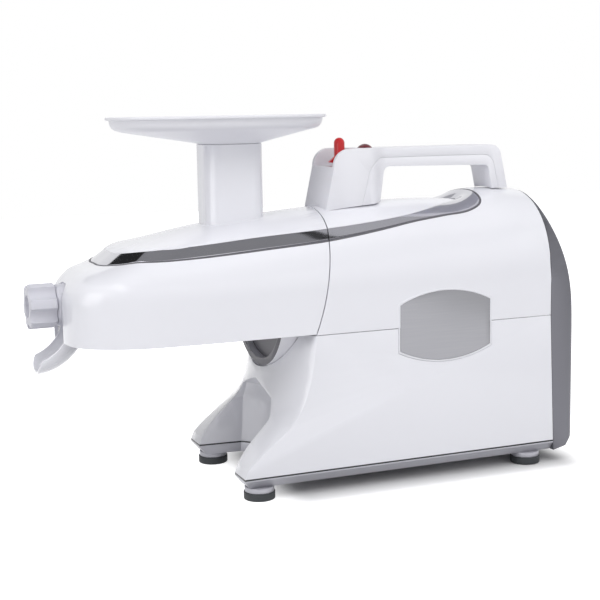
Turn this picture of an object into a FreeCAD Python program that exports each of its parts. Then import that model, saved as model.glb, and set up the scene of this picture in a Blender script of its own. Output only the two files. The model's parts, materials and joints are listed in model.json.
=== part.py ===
import FreeCAD, Part
import math
import os

from FreeCAD import Vector

# Twin gear juicer, all sizes in millimetres.
# The frame: +X points to the rear, +Y to the far side, +Z up, and the feet stand on z = 0.
# The gears, the collar and the outlet knob share one level, GEAR_Z.

# Overall shell sizes
HALF_WIDTH = 75.0
SHOULDER_Z = 165.0
SHELL_WALL = 3.0
PARTING_Z = 136.0
PARTING_GAP = 0.5
HOOD_RIM_Z = 137.0
REAR_X = 213.7
REAR_FOOT_X = 218.0
BACK_X = 238.0
SEAM_RADIUS = 200.0
SEAM_X = -186.0
SEAM_Z = 206.0
SEAM_GAP = 0.8
SEAT_GAP = 0.2
RUN_GAP = 0.3

# Outer skin stations: x, half width, top z, squareness of the shoulder
SKIN = [
    (-213.0, 20.0, 175.5, 3.2),
    (-211.5, 30.0, 179.0, 3.2),
    (-208.0, 41.5, 183.5, 3.2),
    (-203.0, 49.5, 189.0, 3.2),
    (-195.5, 56.5, 194.5, 3.2),
    (-184.0, 63.5, 198.2, 3.2),
    (-171.0, 69.0, 203.2, 3.2),
    (-152.0, 73.2, 211.2, 2.9),
    (-108.0, 75.0, 218.0, 2.6),
    (-60.0, 75.0, 225.5, 2.45),
    (3.0, 75.0, 235.3, 2.35),
    (52.0, 75.0, 240.4, 2.35),
    (89.0, 75.0, 242.0, 2.35),
    (120.0, 75.0, 242.4, 2.35),
    (150.0, 75.0, 244.4, 2.35),
    (178.0, 75.0, 247.8, 2.35),
    (213.7, 75.0, 246.4, 2.35),
]

# Crown panel stations: x, height on the centre line, fall in z per square millimetre of y
CROWN = [
    (-190.0, 203.5, 0.0002),
    (-169.0, 208.2, 0.0003),
    (-153.0, 212.6, 0.0008),
    (-130.0, 218.6, 0.0020),
    (-108.0, 223.9, 0.0032),
    (-60.0, 231.0, 0.0042),
    (3.0, 237.0, 0.0050),
    (60.0, 240.2, 0.0053),
    (100.0, 240.8, 0.0055),
    (135.0, 240.2, 0.0056),
    (158.0, 238.2, 0.0057),
    (190.0, 233.0, 0.0057),
]
CROWN_WALL = 3.0

# Chrome band in plan, nose to tail: outer line on the skin, inner line on the crown panel
BAND_OUTER = [
    (-181.5, 0.0), (-181.2, 16.0), (-176.5, 31.0), (-165.5, 45.5), (-146.0, 55.5), (-108.0, 58.5),
    (-50.0, 59.5), (3.0, 60.0), (52.0, 57.5), (90.0, 53.0), (120.0, 49.5), (145.0, 47.5),
    (161.0, 40.0), (166.5, 22.0), (168.0, 0.0),
]
BAND_INNER = [
    (-168.5, 0.0), (-168.0, 15.5), (-164.5, 27.5), (-156.0, 41.0), (-141.0, 50.5), (-108.0, 54.5),
    (-50.0, 54.8), (3.0, 54.0), (49.0, 51.0), (82.0, 45.5), (108.0, 37.0), (128.0, 27.0),
    (143.0, 17.5), (154.0, 8.0), (158.0, 0.0),
]
BAND_LIP = 2.0
BAND_DEPTH = 6.0

# Hood front opening and feed chute
OPENING_HALF = 18.0
OPENING_TOP_Z = 184.6
CHUTE_X = -61.0
CHUTE_LENGTH = 52.0
CHUTE_WIDTH = 41.0
CHUTE_CORNER = 13.0
CHUTE_WALL = 3.0
CHUTE_TOP_Z = 294.0
CHUTE_FOOT_Z = 203.0

# Hopper tray
TRAY_X = -71.0
TRAY_HALF_LENGTH = 94.5
TRAY_HALF_WIDTH = 61.0
TRAY_TOP_Z = 318.0
TRAY_LIP = 3.6
TRAY_RIM_Z = 307.0
TRAY_RIM_INSET = 5.5
TRAY_WALL = 2.5
TRAY_SPIGOT = 12.0
TRAY_SQUARENESS = 2.4

# Base shell side profile from the toe up, and how far it stands forward on the centre line
TOE_X = -80.0
PLATE_TOP_Z = 20.5
LEG_PROFILE = [(-77.5, 27.0), (-47.6, 52.5), (-33.2, 66.4), (-23.0, 86.9), (-16.0, 118.0), (-14.0, 136.0)]
PROW_PROFILE = [(-77.5, 27.0), (-62.0, 52.5), (-50.0, 66.4), (-42.5, 86.9), (-38.5, 118.0), (-37.0, 136.0)]
# Hollow between the front legs: z, half width in front, half width at its end, where the end begins, end
RECESS = [
    (0.0, 52.0, 46.0, -42.0, -20.0),
    (62.0, 52.0, 45.0, -38.0, -22.0),
    (78.0, 40.0, 35.0, -38.0, -29.0),
    (90.0, 6.0, 4.0, -46.0, -43.0),
]

# Base plate, feet and rear cover
PLATE_BOTTOM_Z = 11.0
PLATE_TAPER = 6.0
PLATE_GAP = 0.2
PLATE_FLOOR = 3.0
FOOT_X = (-63.0, 196.0)
FOOT_INSET = 13.0
FOOT_RADIUS = 13.3
FOOT_PAD = 6.5
FOOT_EDGE = 1.0
FOOT_STEP = 0.8
FOOT_SCREW_LENGTH = 12.0
SCREW_RADIUS = 2.0
SCREW_HEAD_RADIUS = 4.0
SCREW_HEAD = 2.6
SCREW_FIT = 0.05
COVER_SCREW_INSET = 13.0
COVER_SCREW_Z = (42.0, 124.0)
BOSS_WALL = 3.0
BOSS_LENGTH = 16.0
COVER_SCREW_SINK = 6.0
COVER_SCREW_LENGTH = 28.0
COVER_GAP = 0.3
COVER_BACK = [(237.6, 90.0), (236.8, 125.0), (235.0, 153.0), (231.6, 174.0), (227.6, 190.0), (220.8, 213.0),
              (216.0, 232.0), (214.6, 243.0)]
COVER_FOOT_Z = 25.0
COVER_WALL = 3.0
COVER_CORNER = 4.0
VENT_COUNT = 9
VENT_PITCH = 6.0
VENT_SLOT = 2.6
VENT_MARGIN = 4.0
VENT_FIRST_Z = 134.0

# Gears, collar and juicing chamber
GEAR_Z = 166.6
GEAR_CENTRES = 34.0
GEAR_TEETH = 11
GEAR_FRONT_X = -176.0
GEAR_REAR_X = -34.0
JOURNAL_RADIUS = 6.0
JOURNAL_LENGTH = 7.0
GEAR_ADDENDUM = 0.9
GEAR_DEDENDUM = 1.15
BACKLASH = 0.3
TIP_SHARE = 0.42
ROOT_SHARE = 1.5
END_PLAY = 1.0
HEX_ACROSS = 12.0
HEX_FIT = 0.1
HEX_DEPTH = 16.0
OUTPUT_SHAFT_RADIUS = 8.0
COLLAR_RADIUS = 66.0
COLLAR_WALL = 7.0
COLLAR_FRONT_X = -39.0
COLLAR_BACK_X = -18.7
COLLAR_TOP_Z = 200.0
NECK_RADIUS = 62.0
CHAMBER_WALL = 3.0
CHAMBER_GAP = 0.6
CHAMBER_FRONT_X = -190.0
FLANGE_THICK = 6.0
MOUTH_WALL = 3.0
SPOUT_X = -91.0
SPOUT_RADIUS = 9.0
SPOUT_BORE = 6.5
SPOUT_LENGTH = 14.0
PULP_PORT = 6.5
BUSH_WALL = 3.0
BUSH_FIT = 0.08
SEAL_RADIUS = 12.0
SEAL_LENGTH = 8.0
SCREEN_THICK = 1.4
SCREEN_INSET = 12.0
SCREEN_HALF_REACH = 8.0
SCREEN_SLOTS = 16
SCREEN_PITCH = 5.6
SCREEN_SLOT = 1.2
SCREEN_SLOT_HALF = 7.0

# Outlet: cup, gutter, plug and knob
CUP_RADIUS = 20.0
CUP_FRONT_X = -202.0
BOSS_RADIUS = 17.2
BOSS_FRONT_X = -215.5
GUTTER_X = -236.0
GUTTER_Z = 158.0
GUTTER_RADIUS = 30.2
GUTTER_HALF = 17.4
GUTTER_WALL = 2.4
GUTTER_TIP_ANGLE = 86.0
GUTTER_ROOT_ANGLE = 20.0
KNOB_RADIUS = 19.0
KNOB_LOBES = 6
KNOB_GROOVE = 7.0
KNOB_TURN = -12.0
KNOB_LENGTH = 22.0
KNOB_RECESS = 9.5
KNOB_EDGE = 2.0
KNOB_RECESS_DEPTH = 7.0
STEM_RADIUS = 4.0
STEM_FIT = 0.08
STEM_REACH = 8.0
OUTLET_WALL = 3.0
PLUG_RADIUS = 10.0
PLUG_NOSE = 4.5
PLUG_LENGTH = 6.0
PLUG_TRAVEL = 4.0

# Handle, lever and button. In the side view lines, heights are measured from HANDLE_TOP_Z.
HANDLE_TOP_Z = 287.5
HANDLE_FOOT = -62.5
HANDLE_FRONT_FOOT_X = 15.5
HANDLE_FRONT = [(25.7, -15.5), (29.6, -5.0), (40.0, 0.0)]
HANDLE_REAR = [(187.0, 0.0), (194.0, -3.0), (197.6, -10.0)]
HANDLE_REAR_FOOT_X = 209.5
FINGER_FRONT_FOOT_X = 70.0
FINGER_FRONT = [(77.2, -22.5), (79.0, -18.2), (83.0, -16.5)]
FINGER_REAR = [(179.0, -18.0), (182.4, -19.4), (184.0, -23.0)]
FINGER_REAR_FOOT_X = 192.0
SPLIT_FRONT_FOOT_X = 47.0
SPLIT_FRONT = [(58.5, -25.5), (63.5, -15.0), (74.0, -8.5)]
SPLIT_REAR = [(178.5, -8.5), (186.0, -11.5), (189.7, -18.0)]
SPLIT_REAR_FOOT_X = 201.0
CONSOLE_HALF = 25.0
CONSOLE_TAPER = 1.0
CONSOLE_END_X = 60.0
GRIP_HALF = 16.0
GRIP_START_X = 80.0
GRIP_END_X = 186.0
GRIP_TAPER = 2.0
SLOT_HALF = 21.0
SLOT_END_X = 50.0
SLOT_DEPTH = 15.5
WELL_FRONT_X = 29.5
WELL_HALF = 12.0
WELL_DEPTH = 20.0
LEVER_X = 41.6
LEVER_PIVOT = 11.0
LEVER_RADIUS = 4.75
LEVER_RISE = 9.5
LEVER_HUB = 6.0
LEVER_FIN = [(31.2, -11.9), (42.0, -13.5), (42.0, -3.5), (36.5, -7.5)]
LEVER_FIN_HALF = 2.0
LEVER_PIN_RADIUS = 2.0
LEVER_PIN_FIT = 0.05
LEVER_PIN_REACH = 4.0
BUTTON_X = 66.4
BUTTON_RADIUS = 6.75
BUTTON_RISE = 3.5
BUTTON_TRAVEL = 2.0
BUTTON_BODY = 9.0
BUTTON_SPRING = 6.0
BUTTON_SPRING_RADIUS = 4.0
BUTTON_SPRING_WIRE = 0.5
BUTTON_SPRING_TURNS = 4

# Badge plates
BADGE_FRONT_X = 63.3
BADGE_REAR_X = 151.0
BADGE_LOW_Z = 116.0
BADGE_HIGH_Z = 155.5
BADGE_RISE = 10.5
BADGE_THICK = 1.6
BADGE_RIM = 1.6
BADGE_RIM_PROUD = 0.3

# Motor and reduction gears
MOTOR_Z = 95.0
STATOR_RADIUS = 44.0
STATOR_FRONT_X = 88.0
STATOR_LENGTH = 66.0
ROTOR_RADIUS = 25.0
ROTOR_STEP = 2.0
AIR_GAP = 0.5
WINDING_OUTER = 38.0
WINDING_INNER = 30.0
WINDING_GAP = 0.1
SHAFT_RADIUS = 6.0
BEARING_RADIUS = 14.0
BEARING_WIDTH = 9.0
BEARING_FIT = 0.02
SHIELD_THICK = 10.0
SHIELD_GAP = 6.0
SHIELD_WALL = 4.0
PINION_TEETH = 12
MID_TEETH = 48
FIRST_MODULE = 1.25
FIRST_GEAR_OFFSET = 22.0
FIRST_GEAR_WIDTH = 10.0
MID_PINION_TEETH = 14
OUTPUT_TEETH = 42
SECOND_MODULE = 1.5
SECOND_GEAR_OFFSET = 5.0
SECOND_GEAR_WIDTH = 13.0
PINION_MARGIN = 1.0
MID_SHAFT_RADIUS = 5.0
SHAFT_FIT = 0.05
GEARBOX_FRONT_X = 19.0
GEARBOX_REAR_X = 64.0
GEARBOX_WALL = 4.0
GEARBOX_HALF = 57.0
GEARBOX_LOW_Z = 79.0
GEARBOX_HIGH_Z = 207.0
GEARBOX_CORNER = 12.0
CASE_BUSH = 3.0
SPACER_CIRCLE = 36.0
SPACER_RADIUS = 4.0
STAND_HALF = 45.0
STAND_WALL = 8.0
STAND_TOP = 6.0
CRADLE_HALF = 40.0
CRADLE_WALL = 10.0
CRADLE_BAND = 12.0
CRADLE_FLOOR = 6.0
CRADLE_DROP = 22.0
CRADLE_ARCH_Z = 44.0
FAN_RADIUS = 38.0
FAN_HUB = 12.0
FAN_DISC = 2.0
FAN_BLADES = 7
FAN_BLADE_HALF = 0.9
FAN_WIDTH = 12.0
FAN_OFFSET = 4.0

# Capacitor, mains switch and mains inlet
CAPACITOR_RADIUS = 15.0
CAPACITOR_LENGTH = 60.0
CAPACITOR_GAP = 0.8
CAPACITOR_EDGE = 1.5
SWITCH_Y = -26.0
INLET_Y = 26.0
INLET_Z = 58.0
SOCKET_HALF = 14.0
SOCKET_RISE = 11.0
SOCKET_WALL = 3.0
SOCKET_DEPTH = 22.0
SOCKET_SINK = 1.0
SWITCH_ROOM = 12.0
ROCKER_SIDE = [(-9.0, -6.4), (-0.8, -6.4), (-2.6, 0.0), (0.5, 6.0), (-9.0, 6.4)]
ROCKER_PIVOT = 6.0
ROCKER_PIVOT_RADIUS = 1.5
INLET_ROOM = 15.0
PIN_PITCH = 6.0
PIN_HALF = 1.0
PIN_RISE = 2.0
PIN_SINK = 3.0


def save(name, *solids):
    shape = solids[0] if len(solids) == 1 else Part.makeCompound(list(solids))
    shape.exportStep("parts/%s.step" % name)
    print("%-22s solids %d volume %.0f valid %s" % (name, len(shape.Solids), shape.Volume, shape.isValid()))


def cylinder(axis, at, radius, length):
    return Part.makeCylinder(radius, length, Vector(*at), Vector(*axis))


def box(x0, x1, y0, y1, z0, z1):
    return Part.makeBox(x1 - x0, y1 - y0, z1 - z0, Vector(x0, y0, z0))


def curve(points, **options):
    spline = Part.BSplineCurve()
    spline.interpolate([Vector(*p) for p in points], **options)
    return spline.toShape()


def polyline(points):
    return [Part.makeLine(Vector(*a), Vector(*b)) for a, b in zip(points, points[1:])]


def face(edges):
    return Part.Face(Part.Wire(Part.__sortEdges__(edges)))


def blend_table(table, x):
    """Smooth value of each column of a station table at x (Catmull-Rom)."""
    xs = [row[0] for row in table]
    last = len(table) - 1
    if x <= xs[0]:
        return table[0][1:]
    if x >= xs[last]:
        return table[last][1:]
    i = max(k for k in range(last) if xs[k] <= x)
    h = xs[i + 1] - xs[i]
    t = (x - xs[i]) / h
    values = []
    for column in range(1, len(table[0])):
        v0, v1 = table[i][column], table[i + 1][column]
        before, after = max(i - 1, 0), min(i + 2, last)
        s0 = (v1 - table[before][column]) / (xs[i + 1] - xs[before]) * h
        s1 = (table[after][column] - v0) / (xs[after] - xs[i]) * h
        values.append((2 * t**3 - 3 * t**2 + 1) * v0 + (t**3 - 2 * t**2 + t) * s0
                      + (3 * t**2 - 2 * t**3) * v1 + (t**3 - t**2) * s1)
    return tuple(values)


# Skin, crown panel and chrome band surfaces

def skin_section(x, half, top, power, floor_z):
    """One cross-section of the skin: flat sides up to the shoulder, then a rounded top."""
    points = []
    for step in range(-8, 9):
        turn = math.radians(90.0 - step * 11.25)
        y = math.copysign(half * abs(math.cos(turn)) ** (2 / power), step)
        z = SHOULDER_Z + (top - SHOULDER_Z) * abs(math.sin(turn)) ** (2 / power)
        points.append((x, y if step else 0.0, z))
    points[0] = (x, -half, SHOULDER_Z)
    points[-1] = (x, half, SHOULDER_Z)
    top_edge = curve(points, InitialTangent=Vector(0, 0, 1), FinalTangent=Vector(0, 0, -1))
    sides = polyline([(x, half, SHOULDER_Z), (x, half, floor_z), (x, -half, floor_z), (x, -half, SHOULDER_Z)])
    return Part.Wire(Part.__sortEdges__([top_edge] + sides))


def skin_solid(inset, floor_z):
    rows = [row for row in SKIN if row[1] - inset > 10.0 or inset == 0.0]
    sections = [skin_section(x + (inset if i == 0 else 0.0), half - inset, top - inset, power, floor_z)
                for i, (x, half, top, power) in enumerate(rows)]
    return Part.makeLoft(sections, True, False)


def crown_height(x, y):
    height, fall = blend_table(CROWN, x)
    return height - fall * y * y


def crown_solid(drop, floor_z):
    """Everything below the crown panel's top surface, lowered by drop."""
    wide = HALF_WIDTH
    sections = []
    for x, _, _ in CROWN:
        top = [(x, y, crown_height(x, y) - drop) for y in (-wide, -wide / 2, 0.0, wide / 2, wide)]
        edges = [curve(top)] + polyline([top[-1], (x, wide, floor_z), (x, -wide, floor_z), top[0]])
        sections.append(Part.Wire(Part.__sortEdges__(edges)))
    return Part.makeLoft(sections, True, False)


def band_line(half_line, inset):
    """Closed plan line from its half, pulled in by inset and sharp only where it ends in a point."""
    nose, tail = half_line[0][0] + inset, half_line[-1][0] - inset
    half = []
    for i, (x, y) in enumerate(half_line):
        fraction = i / (len(half_line) - 1)
        half.append((min(max(x, nose), tail) if 0 < fraction < 1 else (nose if i == 0 else tail),
                     max(y - inset, 0.0)))
    return half


def plan_prism(half_line, inset, low_z, high_z):
    half = band_line(half_line, inset)
    near = curve([(x, -y, low_z) for x, y in half], InitialTangent=Vector(0, -1, 0))
    far = curve([(x, y, low_z) for x, y in half], InitialTangent=Vector(0, 1, 0))
    return face([near, far]).extrude(Vector(0, 0, high_z - low_z))


def skin_height(skin, x, y):
    line = Part.makeLine(Vector(x, y, SHOULDER_Z + 1), Vector(x, y, 300))
    hit = line.common(skin)
    return hit.BoundBox.ZMax


def band_half(skin, side):
    outer = [(x, y * side) for x, y in band_line(BAND_OUTER, SEAT_GAP)]
    inner = [(x, y * side) for x, y in BAND_INNER]
    outer_top = [(x, y, skin_height(skin, x, y)) for x, y in outer]
    inner_top = [(x, y, crown_height(x, y)) for x, y in inner]
    corners = [outer_top, inner_top,
               [(x, y, z - BAND_DEPTH) for x, y, z in inner_top],
               [(x, y, z - BAND_LIP) for x, y, z in outer_top]]
    lines = [curve(points, InitialTangent=Vector(0, side, 0)) for points in corners]
    walls = [Part.makeRuledSurface(lines[i], lines[(i + 1) % 4]) for i in range(4)]
    ends = []
    for k in (0, -1):
        ring = [corner[k] for corner in corners]
        ends.append(Part.Face(Part.makePolygon([Vector(*p) for p in ring + [ring[0]]])))
    shell = Part.Shell(walls + ends)
    shell.sewShape()
    solid = Part.Solid(shell)
    if solid.Volume < 0:
        solid.reverse()
    return solid


def seam_sphere(offset):
    return Part.makeSphere(SEAM_RADIUS + offset, Vector(SEAM_X, 0, SEAM_Z))


def rounded_prism(x_mid, y_mid, length, width, corner, z0, z1):
    block = box(x_mid - length / 2, x_mid + length / 2, y_mid - width / 2, y_mid + width / 2, z0, z1)
    upright = [e for e in block.Edges if abs(e.tangentAt(e.FirstParameter).z) > 0.99]
    return block.makeFillet(corner, upright)


def hood(skin, inner, crown_top, crown_under, band):
    inside = seam_sphere(-SEAM_GAP / 2)
    shell = skin.common(inside).cut(inner)
    shell = shell.cut(box(SKIN[0][0] - 1, BACK_X, -99, 99, 0, HOOD_RIM_Z))
    shell = shell.cut(plan_prism(BAND_OUTER, 0.0, SHOULDER_Z, 300))
    arch = box(SKIN[0][0] - 1, CHAMBER_FRONT_X, -OPENING_HALF, OPENING_HALF, 100, OPENING_TOP_Z)
    top_edges = [e for e in arch.Edges
                 if e.BoundBox.ZMin > OPENING_TOP_Z - 1 and e.BoundBox.YLength < 1]
    shell = shell.cut(arch.makeFillet(OPENING_HALF * 0.7, top_edges))
    save("hood_shell", shell)

    panel = crown_top.common(plan_prism(BAND_INNER, SEAT_GAP, 150, 300)).cut(crown_under).common(inside)
    chute = rounded_prism(CHUTE_X, 0, CHUTE_LENGTH, CHUTE_WIDTH, CHUTE_CORNER, CHUTE_FOOT_Z, CHUTE_TOP_Z)
    bore = rounded_prism(CHUTE_X, 0, CHUTE_LENGTH - 2 * CHUTE_WALL, CHUTE_WIDTH - 2 * CHUTE_WALL,
                         CHUTE_CORNER - CHUTE_WALL, CHUTE_FOOT_Z - 1, CHUTE_TOP_Z + 1)
    save("hood_crown", panel.fuse(chute).cut(bore).removeSplitter())
    save("hood_chrome", band.common(inside))


def tray_wire(half_length, half_width, power, x_mid, z):
    points = []
    for step in range(32):
        turn = math.radians(step * 11.25)
        cos, sin = math.cos(turn), math.sin(turn)
        points.append((x_mid + math.copysign(half_length * abs(cos) ** (2 / power), cos),
                       math.copysign(half_width * abs(sin) ** (2 / power), sin), z))
    return Part.Wire(curve(points, PeriodicFlag=True))


def hopper_tray():
    """Oval dish whose floor falls to a spigot in the feed chute."""
    rim_length = TRAY_HALF_LENGTH - TRAY_RIM_INSET
    rim_width = TRAY_HALF_WIDTH - TRAY_RIM_INSET
    lip_z = TRAY_TOP_Z - TRAY_LIP
    foot_z = CHUTE_TOP_Z + SEAT_GAP
    cone = Part.makeLoft([tray_wire(CHUTE_LENGTH / 2, CHUTE_WIDTH / 2, 4.0, CHUTE_X, foot_z),
                          tray_wire(rim_length, rim_width, TRAY_SQUARENESS, TRAY_X, TRAY_RIM_Z)], True, True)
    wall = Part.makeLoft([tray_wire(rim_length, rim_width, TRAY_SQUARENESS, TRAY_X, TRAY_RIM_Z),
                          tray_wire(rim_length + 2, rim_width + 2, TRAY_SQUARENESS, TRAY_X, lip_z)],
                         True, True)
    lip = Part.makeLoft([tray_wire(TRAY_HALF_LENGTH - 1, TRAY_HALF_WIDTH - 1, TRAY_SQUARENESS, TRAY_X, lip_z),
                         tray_wire(TRAY_HALF_LENGTH, TRAY_HALF_WIDTH, TRAY_SQUARENESS, TRAY_X, TRAY_TOP_Z)],
                        True, True)
    fit = CHUTE_WALL + RUN_GAP
    spigot = rounded_prism(CHUTE_X, 0, CHUTE_LENGTH - 2 * fit, CHUTE_WIDTH - 2 * fit, CHUTE_CORNER - fit,
                           CHUTE_TOP_Z - TRAY_SPIGOT, foot_z + 1)
    outer = cone.fuse([wall, lip, spigot])
    throat = fit + TRAY_WALL
    throat_length, throat_width = CHUTE_LENGTH - 2 * throat, CHUTE_WIDTH - 2 * throat
    bore = rounded_prism(CHUTE_X, 0, throat_length, throat_width, CHUTE_CORNER - throat,
                         CHUTE_TOP_Z - TRAY_SPIGOT - 1, foot_z + TRAY_WALL + 1)
    inner_length, inner_width = rim_length - TRAY_WALL, rim_width - TRAY_WALL
    floor_cut = Part.makeLoft([
        tray_wire(throat_length / 2, throat_width / 2, 4.0, CHUTE_X, foot_z + TRAY_WALL),
        tray_wire(inner_length, inner_width, TRAY_SQUARENESS, TRAY_X, TRAY_RIM_Z + TRAY_WALL),
        tray_wire(inner_length + 2, inner_width + 2, TRAY_SQUARENESS, TRAY_X, TRAY_TOP_Z + 1)], True, True)
    save("hopper_tray", outer.cut(bore).cut(floor_cut))


# Body shells

def upper_shell(skin, inner):
    """Body top: outer skin, open at the rear, with a dished front wall and a neck for the collar."""
    seam = seam_sphere(SEAM_GAP / 2)
    wall = seam_sphere(SEAM_GAP / 2 + SHELL_WALL)
    floor_z = PARTING_Z + PARTING_GAP / 2
    room = box(-150, REAR_X, -99, 99, floor_z, 300)
    shell = skin.common(room).cut(seam).cut(inner)
    shell = shell.cut(plan_prism(BAND_OUTER, 0.0, SHOULDER_Z, 300))
    dish = skin.common(box(-150, REAR_X, -99, 99, floor_z, COLLAR_TOP_Z)).common(wall).cut(seam)
    neck_x = COLLAR_BACK_X + SEAT_GAP
    neck = along_x(neck_x, 0, GEAR_Z, NECK_RADIUS, 60)
    neck = neck.common(box(-150, REAR_X, -99, 99, floor_z, COLLAR_TOP_Z)).common(wall)
    neck_room = along_x(neck_x + SHELL_WALL, 0, GEAR_Z, NECK_RADIUS - SHELL_WALL, 60)
    neck_room = neck_room.common(box(-150, REAR_X, -99, 99, floor_z, COLLAR_TOP_Z - SHELL_WALL)).common(seam)
    shell = shell.fuse([dish, neck]).cut(neck_room)
    drive_y = -GEAR_CENTRES / 2
    shell = shell.cut(cylinder((1, 0, 0), (-60, drive_y, GEAR_Z), BEARING_RADIUS, 99))
    return shell.cut(badge_prism(BADGE_RIM + SEAT_GAP, HALF_WIDTH - BADGE_THICK))


def badge_prism(grow, inner_y):
    """Both badge outlines as prisms from inner_y outwards, arched at the top and bottom."""
    x0, x1 = BADGE_FRONT_X - grow, BADGE_REAR_X + grow
    z0, z1 = BADGE_LOW_Z - grow, BADGE_HIGH_Z + grow
    mid = (x0 + x1) / 2
    upper = Part.Arc(Vector(x0, 0, z1), Vector(mid, 0, z1 + BADGE_RISE), Vector(x1, 0, z1)).toShape()
    lower = Part.Arc(Vector(x0, 0, z0), Vector(mid, 0, z0 - BADGE_RISE), Vector(x1, 0, z0)).toShape()
    sides = [Part.makeLine(Vector(x, 0, z0), Vector(x, 0, z1)) for x in (x0, x1)]
    outline = face([upper, lower] + sides)
    reach = HALF_WIDTH + 1 - inner_y
    near = outline.extrude(Vector(0, reach, 0)).translate(Vector(0, -HALF_WIDTH - 1, 0))
    far = outline.extrude(Vector(0, reach, 0)).translate(Vector(0, inner_y, 0))
    return near.fuse(far)


def joint_x(z):
    """Rear end of the base, where the rear cover meets it: the joint leans back towards the feet."""
    return REAR_X + (REAR_FOOT_X - REAR_X) * (PARTING_Z - z) / (PARTING_Z - PLATE_BOTTOM_Z)


def base_profile(y, points, shift, floor_z, top_z):
    rear, rear_foot = joint_x(top_z) + shift, joint_x(floor_z) + shift
    foot = TOE_X + shift
    slope = [(x + shift, y, z) for x, z in points]
    slope[-1] = (slope[-1][0], y, top_z)
    edges = polyline([(foot, y, floor_z), slope[0]])
    edges.append(curve(slope))
    edges += polyline([slope[-1], (rear, y, top_z), (rear_foot, y, floor_z), (foot, y, floor_z)])
    return Part.Wire(Part.__sortEdges__(edges))


def base_solid(inset, floor_z, top_z):
    wide = HALF_WIDTH - inset
    sections = [base_profile(-wide, LEG_PROFILE, inset, floor_z, top_z),
                base_profile(0.0, PROW_PROFILE, inset, floor_z, top_z),
                base_profile(wide, LEG_PROFILE, inset, floor_z, top_z)]
    return Part.makeLoft(sections, True, False)


def recess_wire(z, front_half, end_half, side_x, end_x):
    start_x = TOE_X - 40
    end = Part.Arc(Vector(side_x, -end_half, z), Vector(end_x, 0, z), Vector(side_x, end_half, z)).toShape()
    edges = polyline([(side_x, end_half, z), (start_x, front_half, z), (start_x, -front_half, z),
                      (side_x, -end_half, z)])
    return Part.Wire(Part.__sortEdges__(edges + [end]))


def recess(grow):
    """The hollow between the front legs, running up to a ridge under the collar."""
    wires = [recess_wire(z + (grow if z else 0.0), front_half + grow, end_half + grow, side_x, end_x + grow)
             for z, front_half, end_half, side_x, end_x in RECESS]
    return Part.makeLoft(wires, True, True)


def base_shell():
    floor_z = PLATE_TOP_Z + PLATE_GAP
    top_z = PARTING_Z - PARTING_GAP / 2
    outer = base_solid(0.0, floor_z, top_z).cut(recess(0.0))
    collar_room = COLLAR_RADIUS + PARTING_GAP
    cradle = cylinder((1, 0, 0), (-150, 0, GEAR_Z), collar_room, 150 + COLLAR_BACK_X + SEAT_GAP)
    outer = outer.cut(cradle)
    room = base_solid(SHELL_WALL, floor_z - 1, top_z + 1).cut(recess(SHELL_WALL))
    thick_cradle = cylinder((1, 0, 0), (-150, 0, GEAR_Z), collar_room + SHELL_WALL,
                            150 + COLLAR_BACK_X + SEAT_GAP + SHELL_WALL)
    shell = outer.cut(room.cut(thick_cradle))
    boss_radius = SCREW_RADIUS + BOSS_WALL
    for side, z in cover_screw_places():
        y = side * (HALF_WIDTH - COVER_SCREW_INSET)
        boss = cylinder((1, 0, 0), (REAR_X - BOSS_LENGTH, y, z), boss_radius, 2 * BOSS_LENGTH)
        rib_ends = sorted((y, side * (HALF_WIDTH - SHELL_WALL / 2)))
        rib = box(REAR_X - BOSS_LENGTH, BACK_X, rib_ends[0], rib_ends[1], z - 1.5, z + 1.5)
        shell = shell.fuse(boss.fuse(rib).common(outer)).cut(screw_hole((1, 0, 0), (0, y, z), BACK_X))
    save("base_shell", shell.cut(badge_prism(BADGE_RIM + SEAT_GAP, HALF_WIDTH - BADGE_THICK)))


def cover_screw_places():
    return [(side, z) for side in (-1, 1) for z in COVER_SCREW_Z]


def base_plate():
    def outline(z, inset, past=0.0):
        half, toe, rear = HALF_WIDTH - inset, TOE_X + inset, joint_x(z) + past
        points = [(toe, -half, z), (rear, -half, z), (rear, half, z), (toe, half, z), (toe, -half, z)]
        return Part.makePolygon([Vector(*p) for p in points])
    mid_z = PLATE_TOP_Z - 2
    levels = [outline(PLATE_BOTTOM_Z, PLATE_TAPER), outline(mid_z, 0.0), outline(PLATE_TOP_Z, 0.0)]
    tray = Part.makeLoft(levels, True, True)
    hollow = Part.makeLoft([outline(PLATE_BOTTOM_Z + PLATE_FLOOR, PLATE_TAPER + SHELL_WALL, 5.0),
                            outline(PLATE_TOP_Z + 1, SHELL_WALL, 5.0)], True, True)
    plate = tray.cut(hollow.cut(recess(SHELL_WALL))).cut(recess(0.0))
    for x, y in foot_places():
        plate = plate.cut(screw_hole((0, 0, 1), (x, y, 0), 40))
    save("base_plate", plate)


def feet():
    """Rubber pads under metal posts, each held by a screw up into the base plate."""
    pads, posts, screws = [], [], []
    for x, y in foot_places():
        pad = cylinder((0, 0, 1), (x, y, 0), FOOT_RADIUS, FOOT_PAD)
        pad = pad.makeFillet(FOOT_EDGE, [e for e in pad.Edges if e.BoundBox.ZMax < 0.1 and e.Closed])
        pads.append(pad.cut(cylinder((0, 0, 1), (x, y, -1), SCREW_HEAD_RADIUS + RUN_GAP, FOOT_PAD + 2)))
        post = cylinder((0, 0, 1), (x, y, FOOT_PAD), FOOT_RADIUS - FOOT_STEP, PLATE_BOTTOM_Z - FOOT_PAD)
        posts.append(post.cut(screw_hole((0, 0, 1), (x, y, 0), 40)))
        screws.append(screw((0, 0, 1), (x, y, FOOT_PAD - SCREW_HEAD), FOOT_SCREW_LENGTH))
    save("foot_pads", *pads)
    save("foot_posts", *posts)
    save("foot_screws", *screws)


def foot_places():
    return [(x, side * (HALF_WIDTH - FOOT_INSET)) for x in FOOT_X for side in (-1, 1)]


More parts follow.
